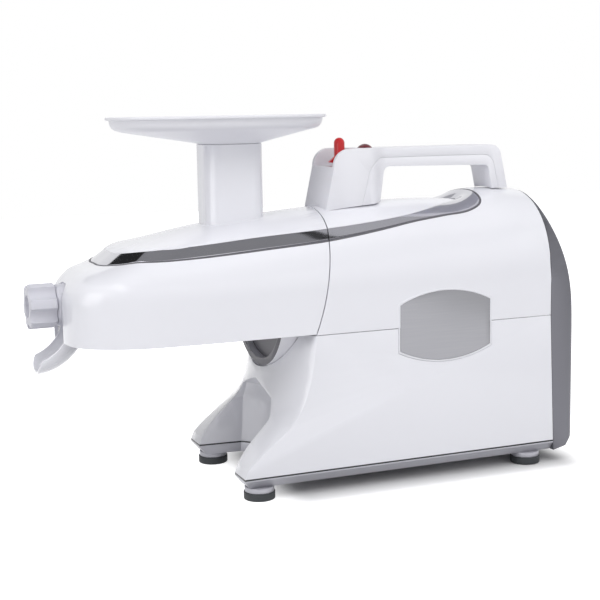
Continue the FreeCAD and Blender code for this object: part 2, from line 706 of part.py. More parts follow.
def screw(axis, at, length):
    """Pan head screw: the head starts at the place given, and the shank runs on along the axis."""
    head = cylinder(axis, at, SCREW_HEAD_RADIUS, SCREW_HEAD)
    shank = cylinder(axis, at, SCREW_RADIUS, length)
    slot_at = Vector(*at) - Vector(*axis) * 0.1
    socket = Part.makeCylinder(SCREW_HEAD_RADIUS * 0.45, SCREW_HEAD * 0.6, slot_at, Vector(*axis))
    return head.fuse(shank).cut(socket)


def screw_hole(axis, at, length):
    return cylinder(axis, at, SCREW_RADIUS + SCREW_FIT, length)


def rear_cover():
    def body(inset):
        front, foot_z = REAR_X + COVER_GAP, PLATE_BOTTOM_Z + inset
        front_foot = joint_x(foot_z) + COVER_GAP
        profile = [(BACK_X - inset, 0, COVER_FOOT_Z)] + [(x - inset, 0, z - inset) for x, z in COVER_BACK]
        edges = polyline([(front_foot - inset, 0, foot_z), (BACK_X - 7 - inset, 0, 14.0 + inset), profile[0]])
        edges.append(curve(profile))
        top = profile[-1]
        edges += polyline([top, (front - inset, 0, top[2] + 2), (front - inset, 0, PARTING_Z),
                           (front_foot - inset, 0, foot_z)])
        side = face(edges).extrude(Vector(0, 2 * HALF_WIDTH, 0)).translate(Vector(0, -HALF_WIDTH, 0))
        _, half, top_z, power = SKIN[-1]
        section = Part.Face(skin_section(REAR_X - 5, half - inset, top_z - inset, power, 0.0))
        solid = side.common(section.extrude(Vector(60, 0, 0)))
        corner = max(COVER_CORNER - inset, 1.0)
        plan = rounded_prism(BACK_X - inset - 50, 0, 100, 2 * (HALF_WIDTH - inset), corner, 0, 300)
        return solid.common(plan)
    shell = body(0.0).cut(body(COVER_WALL))
    vent_half = HALF_WIDTH - VENT_MARGIN
    for i in range(VENT_COUNT):
        z = VENT_FIRST_Z + i * VENT_PITCH
        shell = shell.cut(box(BACK_X - 20, BACK_X + 5, -vent_half, vent_half, z, z + VENT_SLOT))
    solid = body(0.0)
    screws = []
    for side, z in cover_screw_places():
        at = (REAR_X, side * (HALF_WIDTH - COVER_SCREW_INSET), z)
        post = cylinder((1, 0, 0), at, SCREW_HEAD_RADIUS + BOSS_WALL, 30).common(solid)
        head_x = BACK_X - COVER_SCREW_SINK
        well = cylinder((1, 0, 0), (head_x - SCREW_HEAD, at[1], z), SCREW_HEAD_RADIUS + RUN_GAP, 30)
        shell = shell.fuse(post).cut(well).cut(screw_hole((1, 0, 0), (0, at[1], z), 300))
        screws.append(screw((-1, 0, 0), (head_x, at[1], z), COVER_SCREW_LENGTH))
    save("rear_cover", shell.cut(socket_room(SWITCH_Y)).cut(socket_room(INLET_Y)))
    save("cover_screws", *screws)


def socket_room(y):
    return box(BACK_X - 30, BACK_X + 5, y - SOCKET_HALF, y + SOCKET_HALF,
               INLET_Z - SOCKET_RISE, INLET_Z + SOCKET_RISE)


# Handle

def side_prism(edges, half):
    return face(edges).extrude(Vector(0, 2 * half, 0)).translate(Vector(0, -half, 0))


def side_outline(stretches, base_z):
    """Closed side view: each stretch is one point, or an arc through three, and lines join them."""
    edges = []
    ends = []
    for stretch in stretches:
        points = [Vector(x, 0, base_z + z) for x, z in stretch]
        ends.append((points[0], points[-1]))
        if len(points) == 3:
            edges.append(Part.Arc(*points).toShape())
    for here, following in zip(ends, ends[1:] + ends[:1]):
        edges.append(Part.makeLine(here[1], following[0]))
    return edges


def handle_plan(low_z, height):
    """Plan of the console and grip as a prism: the wide console narrows to the grip."""
    console = CONSOLE_HALF - CONSOLE_TAPER
    middle = ((CONSOLE_END_X + GRIP_START_X) / 2, (console + GRIP_HALF) / 2)
    front_x = HANDLE_FRONT_FOOT_X - 1.5
    end_x = HANDLE_REAR_FOOT_X + 2.5
    end_half = GRIP_HALF - GRIP_TAPER
    edges = [Part.makeLine(Vector(front_x, -CONSOLE_HALF, low_z), Vector(front_x, CONSOLE_HALF, low_z)),
             Part.makeLine(Vector(end_x, -end_half, low_z), Vector(end_x, end_half, low_z))]
    for side in (-1, 1):
        neck = [(CONSOLE_END_X, console), middle, (GRIP_START_X, GRIP_HALF)]
        edges.append(curve([(x, side * y, low_z) for x, y in neck],
                           InitialTangent=Vector(1, 0, 0), FinalTangent=Vector(1, 0, 0)))
        edges += polyline([(front_x, side * CONSOLE_HALF, low_z), (CONSOLE_END_X, side * console, low_z)])
        edges += polyline([(GRIP_START_X, side * GRIP_HALF, low_z), (GRIP_END_X, side * GRIP_HALF, low_z),
                           (end_x, side * end_half, low_z)])
    return face(edges).extrude(Vector(0, 0, height))


def handle_blank():
    side = side_prism(side_outline([[(HANDLE_FRONT_FOOT_X, HANDLE_FOOT)], HANDLE_FRONT, HANDLE_REAR,
                                    [(HANDLE_REAR_FOOT_X, HANDLE_FOOT)]], HANDLE_TOP_Z), CONSOLE_HALF + 5)
    gap = side_prism(side_outline([[(FINGER_FRONT_FOOT_X, HANDLE_FOOT - 1)], FINGER_FRONT, FINGER_REAR,
                                   [(FINGER_REAR_FOOT_X, HANDLE_FOOT - 1)]], HANDLE_TOP_Z), CONSOLE_HALF + 6)
    return side.cut(gap).common(handle_plan(HANDLE_TOP_Z + HANDLE_FOOT, 80))


def handle_inner_zone(gap):
    """Side view zone of the inner handle half, round the finger opening."""
    front = [(x + gap, z - gap) for x, z in SPLIT_FRONT]
    rear = [(x - gap, z - gap) for x, z in SPLIT_REAR]
    outline = side_outline([[(SPLIT_FRONT_FOOT_X + gap, HANDLE_FOOT - 5)], front, rear,
                            [(SPLIT_REAR_FOOT_X - gap, HANDLE_FOOT - 5)]], HANDLE_TOP_Z)
    return side_prism(outline, CONSOLE_HALF + 6)


def coil_spring(radius, wire, length, turns):
    """Round wire coil that stands on z = 0 round the Z axis."""
    pitch = (length - 2 * wire) / turns
    path = Part.Wire(Part.makeHelix(pitch, length - 2 * wire, radius).Edges)
    section = Part.Wire(Part.makeCircle(wire, Vector(radius, 0, 0), Vector(0, 1, 0)))
    coil = Part.Wire(path).makePipeShell([section], True, True)
    return coil.translate(Vector(0, 0, wire))


def handle(skin, crown_top):
    blank = handle_blank().cut(skin).cut(crown_top)
    slot_z = HANDLE_TOP_Z - SLOT_DEPTH
    slot = box(0, SLOT_END_X, -SLOT_HALF, SLOT_HALF, slot_z, 300)
    well = box(WELL_FRONT_X, SLOT_END_X, -WELL_HALF, WELL_HALF, slot_z - WELL_DEPTH, 300)
    bore_depth = BUTTON_BODY + BUTTON_SPRING + BUTTON_TRAVEL + SEAT_GAP
    button_bore = cylinder((0, 0, 1), (BUTTON_X, 0, HANDLE_TOP_Z - bore_depth), BUTTON_RADIUS + RUN_GAP, 30)
    pivot_z = slot_z - LEVER_PIVOT
    pin_half = WELL_HALF + LEVER_PIN_REACH
    pin = cylinder((0, 1, 0), (LEVER_X, -pin_half, pivot_z), LEVER_PIN_RADIUS, 2 * pin_half)
    outer = blank.cut(handle_inner_zone(0.0)).cut(slot).cut(well).cut(button_bore).cut(pin)
    save("handle_outer", outer)
    save("handle_inner", blank.common(handle_inner_zone(SEAT_GAP)).cut(button_bore))
    save("lever_pin", pin)
    lock_lever(pivot_z)
    push_button()


def lock_lever(pivot_z):
    """Lock lever: a round post on a hub, with the fin that fills the front of its slot."""
    tip_z = HANDLE_TOP_Z + LEVER_RISE - LEVER_RADIUS
    post = cylinder((0, 0, 1), (LEVER_X, 0, pivot_z), LEVER_RADIUS, tip_z - pivot_z)
    tip = Part.makeSphere(LEVER_RADIUS, Vector(LEVER_X, 0, tip_z))
    hub_half = WELL_HALF - RUN_GAP
    hub = cylinder((0, 1, 0), (LEVER_X, -hub_half, pivot_z), LEVER_HUB, 2 * hub_half)
    fin = side_prism(side_outline([[point] for point in LEVER_FIN], HANDLE_TOP_Z), LEVER_FIN_HALF)
    hole_radius = LEVER_PIN_RADIUS + LEVER_PIN_FIT
    pin_hole = cylinder((0, 1, 0), (LEVER_X, -WELL_HALF, pivot_z), hole_radius, 2 * WELL_HALF)
    save("lock_lever", post.fuse([tip, hub, fin]).cut(pin_hole))


def push_button():
    low_z = HANDLE_TOP_Z - BUTTON_BODY
    dome_radius = (BUTTON_RADIUS**2 + BUTTON_RISE**2) / (2 * BUTTON_RISE)
    dome = Part.makeSphere(dome_radius, Vector(BUTTON_X, 0, HANDLE_TOP_Z + BUTTON_RISE - dome_radius))
    column = cylinder((0, 0, 1), (BUTTON_X, 0, low_z), BUTTON_RADIUS, BUTTON_BODY + BUTTON_RISE)
    save("button_cap", column.common(dome.fuse(cylinder((0, 0, 1), (BUTTON_X, 0, low_z), 20, BUTTON_BODY))))
    spring = coil_spring(BUTTON_SPRING_RADIUS, BUTTON_SPRING_WIRE, BUTTON_SPRING, BUTTON_SPRING_TURNS)
    save("button_spring", spring.translate(Vector(BUTTON_X, 0, low_z - BUTTON_SPRING)))


# Juicing head

def gear_outline(teeth, module, turn):
    """Straight gear face in the YZ plane round the origin, with arc flanks and named backlash."""
    pitch = teeth * module / 2
    tip = pitch + GEAR_ADDENDUM * module
    root = pitch - GEAR_DEDENDUM * module
    half_pitch = (math.pi - BACKLASH) / 2 / teeth
    tip_half = half_pitch * TIP_SHARE
    root_half = half_pitch * ROOT_SHARE
    edges = []

    def at(radius, angle):
        return Vector(0, radius * math.cos(angle), radius * math.sin(angle))
    for i in range(teeth):
        mid = turn + 2 * math.pi * i / teeth
        following = turn + 2 * math.pi * (i + 1) / teeth
        left = (at(root, mid - root_half), at(pitch, mid - half_pitch), at(tip, mid - tip_half))
        right = (at(tip, mid + tip_half), at(pitch, mid + half_pitch), at(root, mid + root_half))
        edges.append(Part.Arc(*left).toShape())
        edges.append(Part.makeLine(left[2], right[0]))
        edges.append(Part.Arc(*right).toShape())
        edges.append(Part.makeLine(right[2], at(root, following - root_half)))
    return face(edges)


def gear(teeth, module, turn, at, width):
    return gear_outline(teeth, module, turn).extrude(Vector(width, 0, 0)).translate(Vector(*at))


def hexagon(across, at, length):
    radius = across / math.sqrt(3)
    points = [Vector(at[0], at[1] + radius * math.cos(math.radians(60 * i)),
                     at[2] + radius * math.sin(math.radians(60 * i))) for i in range(7)]
    return Part.Face(Part.makePolygon(points)).extrude(Vector(length, 0, 0))


def along_x(x, y, z, radius, length):
    return cylinder((1, 0, 0), (x, y, z), radius, length)


def chamber_tubes(radius, x0, x1):
    tubes = [along_x(x0, side * GEAR_CENTRES / 2, GEAR_Z, radius, x1 - x0) for side in (-1, 1)]
    waist = box(x0, x1, -GEAR_CENTRES / 2, GEAR_CENTRES / 2, GEAR_Z - radius * 0.8, GEAR_Z + radius * 0.8)
    return tubes[0].fuse([tubes[1], waist])


def twin_gears():
    """The two pressing gears; the driven one takes the output shaft's hexagon. Returns their tip radius."""
    module = GEAR_CENTRES / GEAR_TEETH
    length = GEAR_REAR_X - GEAR_FRONT_X
    drive_y, idle_y = -GEAR_CENTRES / 2, GEAR_CENTRES / 2
    half_tooth = math.pi / GEAR_TEETH
    drive = gear(GEAR_TEETH, module, 0.0, (GEAR_FRONT_X, drive_y, GEAR_Z), length)
    idle = gear(GEAR_TEETH, module, math.pi + half_tooth, (GEAR_FRONT_X, idle_y, GEAR_Z), length)
    front = GEAR_FRONT_X - JOURNAL_LENGTH
    drive = drive.fuse(along_x(front, drive_y, GEAR_Z, JOURNAL_RADIUS, JOURNAL_LENGTH))
    socket_at = (GEAR_REAR_X - HEX_DEPTH, drive_y, GEAR_Z)
    drive = drive.cut(hexagon(HEX_ACROSS + 2 * HEX_FIT, socket_at, HEX_DEPTH + 1))
    idle = idle.fuse([along_x(front, idle_y, GEAR_Z, JOURNAL_RADIUS, JOURNAL_LENGTH),
                      along_x(GEAR_REAR_X, idle_y, GEAR_Z, JOURNAL_RADIUS, JOURNAL_LENGTH)])
    save("drive_gear", drive)
    save("idle_gear", idle)
    return GEAR_CENTRES / 2 + GEAR_ADDENDUM * module


def screen_window(shrink):
    """Room of the strainer under the gears."""
    reach = GEAR_CENTRES / 2 + SCREEN_HALF_REACH - shrink
    return box(GEAR_FRONT_X + SCREEN_INSET + shrink, CHUTE_X - shrink, -reach, reach, 120,
               GEAR_Z - SCREEN_HALF_REACH - shrink)


def juicing_chamber(tip):
    """Housing round the twin gears, with its strainer and bushes."""
    bore = tip + CHAMBER_GAP
    outer_radius = bore + CHAMBER_WALL
    back_x = GEAR_REAR_X + END_PLAY
    front_wall = GEAR_FRONT_X - END_PLAY
    mouth_top = CHUTE_FOOT_Z - 1
    mouth = rounded_prism(CHUTE_X, 0, CHUTE_LENGTH + 2 * MOUTH_WALL, CHUTE_WIDTH + 2 * MOUTH_WALL,
                          CHUTE_CORNER, GEAR_Z, mouth_top)
    mouth_bore = rounded_prism(CHUTE_X, 0, CHUTE_LENGTH - 2, CHUTE_WIDTH - 2, CHUTE_CORNER - 1,
                               GEAR_Z, mouth_top + 1)
    spout = cylinder((0, 0, 1), (SPOUT_X, 0, HOOD_RIM_Z + 2), SPOUT_RADIUS, SPOUT_LENGTH)
    spout_bore = cylinder((0, 0, 1), (SPOUT_X, 0, HOOD_RIM_Z), SPOUT_BORE, 2 * SPOUT_LENGTH)
    flange = along_x(back_x, 0, GEAR_Z, COLLAR_RADIUS - COLLAR_WALL - RUN_GAP, FLANGE_THICK)
    flange = flange.cut(above(COLLAR_TOP_Z - 1))
    housing = chamber_tubes(outer_radius, CHAMBER_FRONT_X, back_x).fuse([mouth, spout, flange])
    housing = housing.cut(chamber_tubes(bore, front_wall, back_x)).cut(mouth_bore).cut(spout_bore)
    bush_radius = JOURNAL_RADIUS + BUSH_WALL
    bush_front = CHAMBER_FRONT_X + CHAMBER_WALL
    for side in (-1, 1):
        y = side * GEAR_CENTRES / 2
        housing = housing.cut(along_x(bush_front, y, GEAR_Z, bush_radius, 30))
        housing = housing.cut(along_x(back_x - 1, y, GEAR_Z, bush_radius, FLANGE_THICK + 2))
    housing = housing.cut(along_x(CHAMBER_FRONT_X - 1, 0, GEAR_Z, PULP_PORT, 20))
    seat = screen_window(0.0).common(chamber_tubes(outer_radius - 1, GEAR_FRONT_X, back_x))
    save("juicing_housing", housing.cut(seat).removeSplitter())

    screen = screen_window(SEAT_GAP).common(chamber_tubes(bore + SCREEN_THICK, GEAR_FRONT_X, back_x))
    screen = screen.cut(chamber_tubes(bore, GEAR_FRONT_X, back_x))
    slots = []
    for i in range(SCREEN_SLOTS):
        x = GEAR_FRONT_X + SCREEN_INSET + SCREEN_PITCH * (i + 1)
        for y in (-GEAR_CENTRES / 2, GEAR_CENTRES / 2):
            slots.append(box(x, x + SCREEN_SLOT, y - SCREEN_SLOT_HALF, y + SCREEN_SLOT_HALF,
                             120, GEAR_Z - 12))
    save("juice_screen", screen.cut(Part.makeCompound(slots)))

    bushes = []
    places = [(bush_front + SEAT_GAP, -1, front_wall - bush_front - SEAT_GAP),
              (bush_front + SEAT_GAP, 1, front_wall - bush_front - SEAT_GAP), (back_x, 1, FLANGE_THICK)]
    for x, side, width in places:
        y = side * GEAR_CENTRES / 2
        bush = along_x(x, y, GEAR_Z, bush_radius, width)
        bushes.append(bush.cut(along_x(x - 1, y, GEAR_Z, JOURNAL_RADIUS + BUSH_FIT, 30)))
    save("gear_bushes", *bushes)
    return back_x + FLANGE_THICK


def above(z):
    return box(-150, 150, -150, 150, z, 400)


def clamp(seal_x):
    """Clamp collar round the housing's flange, and the wall behind it that holds the shaft seal."""
    shaft_y = -GEAR_CENTRES / 2
    collar = along_x(COLLAR_FRONT_X, 0, GEAR_Z, COLLAR_RADIUS, COLLAR_BACK_X - COLLAR_FRONT_X)
    collar = collar.cut(along_x(COLLAR_FRONT_X - 1, 0, GEAR_Z, COLLAR_RADIUS - COLLAR_WALL, 40))
    save("clamp_collar", collar.cut(above(COLLAR_TOP_Z)))
    backing = along_x(seal_x, 0, GEAR_Z, COLLAR_RADIUS - COLLAR_WALL - SEAT_GAP, COLLAR_BACK_X - seal_x)
    backing = backing.cut(above(COLLAR_TOP_Z))
    save("collar_backing", backing.cut(along_x(seal_x - 1, shaft_y, GEAR_Z, SEAL_RADIUS + SEAT_GAP, 60)))
    seal = along_x(seal_x + SEAT_GAP, shaft_y, GEAR_Z, SEAL_RADIUS, SEAL_LENGTH)
    save("shaft_seal", seal.cut(along_x(seal_x, shaft_y, GEAR_Z, OUTPUT_SHAFT_RADIUS + BUSH_FIT, 60)))


def gutter(radius, root_angle, tip_angle):
    """Half round trough swept about the outlet's turning centre, between two angles from the +X side."""
    x = GUTTER_X + GUTTER_RADIUS
    bottom = Part.Arc(Vector(x, -radius, GUTTER_Z), Vector(x + radius, 0, GUTTER_Z),
                      Vector(x, radius, GUTTER_Z)).toShape()
    lid = Part.makeLine(Vector(x, -radius, GUTTER_Z), Vector(x, radius, GUTTER_Z))
    section = face([bottom, lid])
    section.rotate(Vector(GUTTER_X, 0, GUTTER_Z), Vector(0, 1, 0), root_angle)
    return section.revolve(Vector(GUTTER_X, 0, GUTTER_Z), Vector(0, 1, 0), tip_angle - root_angle)


def pulp_outlet():
    """Cup on the chamber's front with the open gutter that turns the pulp out and down."""
    cup = along_x(CUP_FRONT_X, 0, GEAR_Z, CUP_RADIUS, CHAMBER_FRONT_X - SEAT_GAP - CUP_FRONT_X)
    boss = along_x(BOSS_FRONT_X, 0, GEAR_Z, BOSS_RADIUS, CUP_FRONT_X - BOSS_FRONT_X + 1)
    spout = gutter(GUTTER_HALF, GUTTER_ROOT_ANGLE, GUTTER_TIP_ANGLE)
    bowl = along_x(CUP_FRONT_X + OUTLET_WALL, 0, GEAR_Z, CUP_RADIUS - OUTLET_WALL, 40)
    boss_room = along_x(BOSS_FRONT_X + OUTLET_WALL, 0, GEAR_Z, BOSS_RADIUS - OUTLET_WALL, 40)
    channel = gutter(GUTTER_HALF - GUTTER_WALL, GUTTER_ROOT_ANGLE + 4, GUTTER_TIP_ANGLE + 8)
    lid_cut = cylinder((0, 1, 0), (GUTTER_X, -40, GUTTER_Z), GUTTER_RADIUS - 0.5, 80)
    lid_cut = lid_cut.common(box(-300, CUP_FRONT_X - 0.1, -40, 40, 0, GEAR_Z - BOSS_RADIUS - 0.5))
    outlet = cup.fuse([boss, spout]).cut(bowl).cut(boss_room).cut(channel).cut(lid_cut)
    outlet = outlet.cut(along_x(BOSS_FRONT_X - 1, 0, GEAR_Z, STEM_RADIUS + STEM_FIT, 20))
    save("pulp_outlet", outlet.removeSplitter())


def outlet_knob():
    """Lobed knob with its screw stem, and the plug that it moves inside the outlet."""
    front = -BACK_X
    back = front + KNOB_LENGTH
    knob = along_x(front, 0, GEAR_Z, KNOB_RADIUS, KNOB_LENGTH)
    knob = knob.makeFillet(KNOB_EDGE, [e for e in knob.Edges if e.Closed])
    groove_circle = KNOB_RADIUS + KNOB_GROOVE * 0.35
    for i in range(KNOB_LOBES):
        turn = math.radians(360.0 / KNOB_LOBES * (i + 0.5) + KNOB_TURN)
        y, z = groove_circle * math.cos(turn), GEAR_Z + groove_circle * math.sin(turn)
        knob = knob.cut(along_x(front - 1, y, z, KNOB_GROOVE, KNOB_LENGTH + 2))
    knob = knob.cut(along_x(front - 1, 0, GEAR_Z, KNOB_RECESS, KNOB_RECESS_DEPTH))
    stem_end = BOSS_FRONT_X + STEM_REACH
    stem = along_x(back - 1, 0, GEAR_Z, STEM_RADIUS, stem_end - back + 1)
    save("outlet_knob", knob.fuse(stem))

    plug_x = stem_end + SEAT_GAP
    nose_x = plug_x + PLUG_LENGTH
    nose = Part.makeCone(PLUG_RADIUS, PLUG_NOSE, CHAMBER_FRONT_X - PLUG_TRAVEL - 1 - nose_x,
                         Vector(nose_x, 0, GEAR_Z), Vector(1, 0, 0))
    save("outlet_plug", along_x(plug_x, 0, GEAR_Z, PLUG_RADIUS, PLUG_LENGTH).fuse(nose))


# Motor and gearbox

def mid_axis():
    """Middle shaft position: at both gear distances from the motor and output shafts."""
    first = (PINION_TEETH + MID_TEETH) * FIRST_MODULE / 2
    second = (MID_PINION_TEETH + OUTPUT_TEETH) * SECOND_MODULE / 2
    dy, dz = -GEAR_CENTRES / 2, GEAR_Z - MOTOR_Z
    span = math.hypot(dy, dz)
    along = (first**2 - second**2 + span**2) / (2 * span)
    off = math.sqrt(first**2 - along**2)
    return (along * dy + off * dz) / span, MOTOR_Z + (along * dz - off * dy) / span


def mesh_turn(centre_line, follower_teeth):
    """Turn of a follower so that its gap faces the driver's tooth along the line of centres."""
    return centre_line + math.pi + math.pi / follower_teeth


def motor():
    """Rotor, fan, stator, windings, end shields and bearings on the motor's axis."""
    stator_end = STATOR_FRONT_X + STATOR_LENGTH
    front_shield_x = STATOR_FRONT_X - SHIELD_GAP - SHIELD_THICK
    rear_shield_x = stator_end + SHIELD_GAP
    fan_x = rear_shield_x + SHIELD_THICK + FAN_OFFSET
    mid_y, mid_z = mid_axis()
    pinion_x = GEARBOX_FRONT_X + GEARBOX_WALL + FIRST_GEAR_OFFSET - PINION_MARGIN
    core = along_x(STATOR_FRONT_X + ROTOR_STEP, 0, MOTOR_Z, ROTOR_RADIUS, STATOR_LENGTH - 2 * ROTOR_STEP)
    shaft = along_x(pinion_x - 3, 0, MOTOR_Z, SHAFT_RADIUS, fan_x + FAN_WIDTH + 6 - pinion_x)
    pinion = gear(PINION_TEETH, FIRST_MODULE, math.atan2(mid_z - MOTOR_Z, mid_y), (pinion_x, 0, MOTOR_Z),
                  FIRST_GEAR_WIDTH + 2 * PINION_MARGIN)
    save("motor_rotor", core.fuse([shaft, pinion]))

    disc = along_x(fan_x, 0, MOTOR_Z, FAN_RADIUS, FAN_DISC)
    fan = along_x(fan_x, 0, MOTOR_Z, FAN_HUB, FAN_WIDTH).fuse(disc)
    blades = []
    for i in range(FAN_BLADES):
        blade = box(fan_x + 1, fan_x + FAN_WIDTH, FAN_HUB - 2, FAN_RADIUS - 1,
                    -FAN_BLADE_HALF, FAN_BLADE_HALF)
        blade.rotate(Vector(0, 0, 0), Vector(1, 0, 0), 360.0 / FAN_BLADES * i)
        blades.append(blade.translate(Vector(0, 0, MOTOR_Z)))
    save("cooling_fan", fan.fuse(blades).cut(along_x(fan_x - 1, 0, MOTOR_Z, SHAFT_RADIUS + BEARING_FIT, 40)))

    stator = along_x(STATOR_FRONT_X, 0, MOTOR_Z, STATOR_RADIUS, STATOR_LENGTH)
    save("motor_stator", stator.cut(along_x(0, 0, MOTOR_Z, ROTOR_RADIUS + AIR_GAP, 300)))
    windings = []
    width = SHIELD_GAP - 1
    for x in (STATOR_FRONT_X - width - WINDING_GAP, stator_end + WINDING_GAP):
        ring = along_x(x, 0, MOTOR_Z, WINDING_OUTER, width)
        windings.append(ring.cut(along_x(0, 0, MOTOR_Z, WINDING_INNER, 300)))
    save("stator_windings", *windings)

    bearings = []
    for name, x, rim_x in (("motor_front_shield", front_shield_x, front_shield_x + SHIELD_THICK),
                           ("motor_rear_shield", rear_shield_x, stator_end)):
        disc = along_x(x, 0, MOTOR_Z, STATOR_RADIUS, SHIELD_THICK)
        disc = disc.cut(along_x(x - 1, 0, MOTOR_Z, BEARING_RADIUS + BEARING_FIT, SHIELD_THICK + 2))
        rim = along_x(rim_x, 0, MOTOR_Z, STATOR_RADIUS, SHIELD_GAP)
        rim = rim.cut(along_x(rim_x - 1, 0, MOTOR_Z, STATOR_RADIUS - SHIELD_WALL, SHIELD_GAP + 2))
        save(name, disc.fuse(rim))
        bearing = along_x(x + (SHIELD_THICK - BEARING_WIDTH) / 2, 0, MOTOR_Z, BEARING_RADIUS, BEARING_WIDTH)
        bearings.append(bearing.cut(along_x(x, 0, MOTOR_Z, SHAFT_RADIUS + BEARING_FIT, 30)))
    save("motor_bearings", *bearings)

    cradle = box(STATOR_FRONT_X + CRADLE_FLOOR, stator_end - CRADLE_FLOOR, -CRADLE_HALF, CRADLE_HALF,
                 PLATE_BOTTOM_Z + PLATE_FLOOR, MOTOR_Z - CRADLE_DROP)
    legs_inner = CRADLE_HALF - CRADLE_WALL
    cradle = cradle.cut(box(0, 300, -legs_inner, legs_inner, 0, CRADLE_ARCH_Z))
    cradle = cradle.cut(along_x(0, 0, MOTOR_Z, STATOR_RADIUS + SEAT_GAP, 300))
    band = CRADLE_FLOOR + CRADLE_BAND
    middle = box(STATOR_FRONT_X + band, stator_end - band, -99, 99,
                 PLATE_BOTTOM_Z + PLATE_FLOOR + CRADLE_FLOOR, 200)
    save("motor_cradle", cradle.cut(middle))
    return front_shield_x


def gear_train():
    """Middle gear and output shaft: each gap faces its driver's tooth."""
    mid_y, mid_z = mid_axis()
    out_y = -GEAR_CENTRES / 2
    first_x = GEARBOX_FRONT_X + GEARBOX_WALL + FIRST_GEAR_OFFSET
    second_x = GEARBOX_FRONT_X + GEARBOX_WALL + SECOND_GEAR_OFFSET
    to_mid = math.atan2(mid_z - MOTOR_Z, mid_y)
    to_out = math.atan2(GEAR_Z - mid_z, out_y - mid_y)
    mid_gear = gear(MID_TEETH, FIRST_MODULE, mesh_turn(to_mid, MID_TEETH), (first_x, mid_y, mid_z),
                    FIRST_GEAR_WIDTH)
    mid_pinion = gear(MID_PINION_TEETH, SECOND_MODULE, to_out, (second_x - PINION_MARGIN, mid_y, mid_z),
                      first_x - second_x + 2 * PINION_MARGIN)
    shaft_length = GEARBOX_REAR_X - GEARBOX_FRONT_X - 2
    mid_shaft = along_x(GEARBOX_FRONT_X + 1, mid_y, mid_z, MID_SHAFT_RADIUS, shaft_length)
    save("mid_gear", mid_gear.fuse([mid_pinion, mid_shaft]))
    output = gear(OUTPUT_TEETH, SECOND_MODULE, mesh_turn(to_out, OUTPUT_TEETH), (second_x, out_y, GEAR_Z),
                  SECOND_GEAR_WIDTH)
    shaft_front = GEAR_REAR_X + END_PLAY + SEAT_GAP
    shaft = along_x(shaft_front, out_y, GEAR_Z, OUTPUT_SHAFT_RADIUS, GEARBOX_REAR_X - 1 - shaft_front)
    key_front = GEAR_REAR_X - HEX_DEPTH + 1
    key = hexagon(HEX_ACROSS, (key_front, out_y, GEAR_Z), shaft_front - key_front + 1)
    save("output_shaft", output.fuse([shaft, key]))


def gearbox(front_shield_x):
    """Gearbox case and lid, their bushes, the spacers to the motor and the stand on the base plate."""
    mid_y, mid_z = mid_axis()
    shafts = [(mid_y, mid_z, MID_SHAFT_RADIUS), (-GEAR_CENTRES / 2, GEAR_Z, OUTPUT_SHAFT_RADIUS)]
    rear_wall_x = GEARBOX_REAR_X - GEARBOX_WALL
    case = rounded_x(GEARBOX_FRONT_X + GEARBOX_WALL + SEAT_GAP, GEARBOX_REAR_X, 0.0, GEARBOX_CORNER)
    case = case.cut(rounded_x(GEARBOX_FRONT_X, rear_wall_x, GEARBOX_WALL, GEARBOX_CORNER - GEARBOX_WALL))
    case = case.cut(along_x(0, 0, MOTOR_Z, SHAFT_RADIUS + 2, 100))
    lid = rounded_x(GEARBOX_FRONT_X, GEARBOX_FRONT_X + GEARBOX_WALL, 0.0, GEARBOX_CORNER)
    rings = []
    for y, z, radius in shafts:
        case = case.cut(along_x(rear_wall_x - 1, y, z, radius + CASE_BUSH, CASE_BUSH + 1))
        lid = lid.cut(along_x(0, y, z, radius + CASE_BUSH, 100))
        for x, width in ((GEARBOX_FRONT_X, GEARBOX_WALL), (rear_wall_x, CASE_BUSH)):
            ring = along_x(x, y, z, radius + CASE_BUSH - BEARING_FIT, width)
            rings.append(ring.cut(along_x(x - 1, y, z, radius + SHAFT_FIT, 20)))
    save("gearbox_case", case)
    save("gearbox_lid", lid)
    save("gearbox_bushes", *rings)

    spacers = []
    for turn in (45, 135):
        y = SPACER_CIRCLE * math.cos(math.radians(turn))
        z = MOTOR_Z + SPACER_CIRCLE * math.sin(math.radians(turn))
        spacers.append(along_x(GEARBOX_REAR_X, y, z, SPACER_RADIUS, front_shield_x - GEARBOX_REAR_X))
    save("motor_spacers", *spacers)
    stand = box(GEARBOX_FRONT_X + 10, GEARBOX_REAR_X - 6, -STAND_HALF, STAND_HALF,
                PLATE_BOTTOM_Z + PLATE_FLOOR, GEARBOX_LOW_Z)
    legs_inner = STAND_HALF - STAND_WALL
    save("gearbox_stand", stand.cut(box(0, 300, -legs_inner, legs_inner, 0, GEARBOX_LOW_Z - STAND_TOP)))


def rounded_x(x0, x1, inset, corner):
    half = GEARBOX_HALF - inset
    block = box(x0, x1, -half, half, GEARBOX_LOW_Z + inset, GEARBOX_HIGH_Z - inset)
    long_edges = [e for e in block.Edges if abs(e.tangentAt(e.FirstParameter).x) > 0.99]
    return block.makeFillet(corner, long_edges)


# Electrics at the rear

def socket_body(y, back_x, face_x, room_depth):
    """Moulded frame that fills a socket room of the rear cover, open to the rear."""
    half, rise = SOCKET_HALF - SEAT_GAP, SOCKET_RISE - SEAT_GAP
    body = box(back_x, face_x, y - half, y + half, INLET_Z - rise, INLET_Z + rise)
    inner_half, inner_rise = SOCKET_HALF - SOCKET_WALL, SOCKET_RISE - SOCKET_WALL
    return body.cut(box(face_x - room_depth, face_x + 1, y - inner_half, y + inner_half,
                        INLET_Z - inner_rise, INLET_Z + inner_rise))


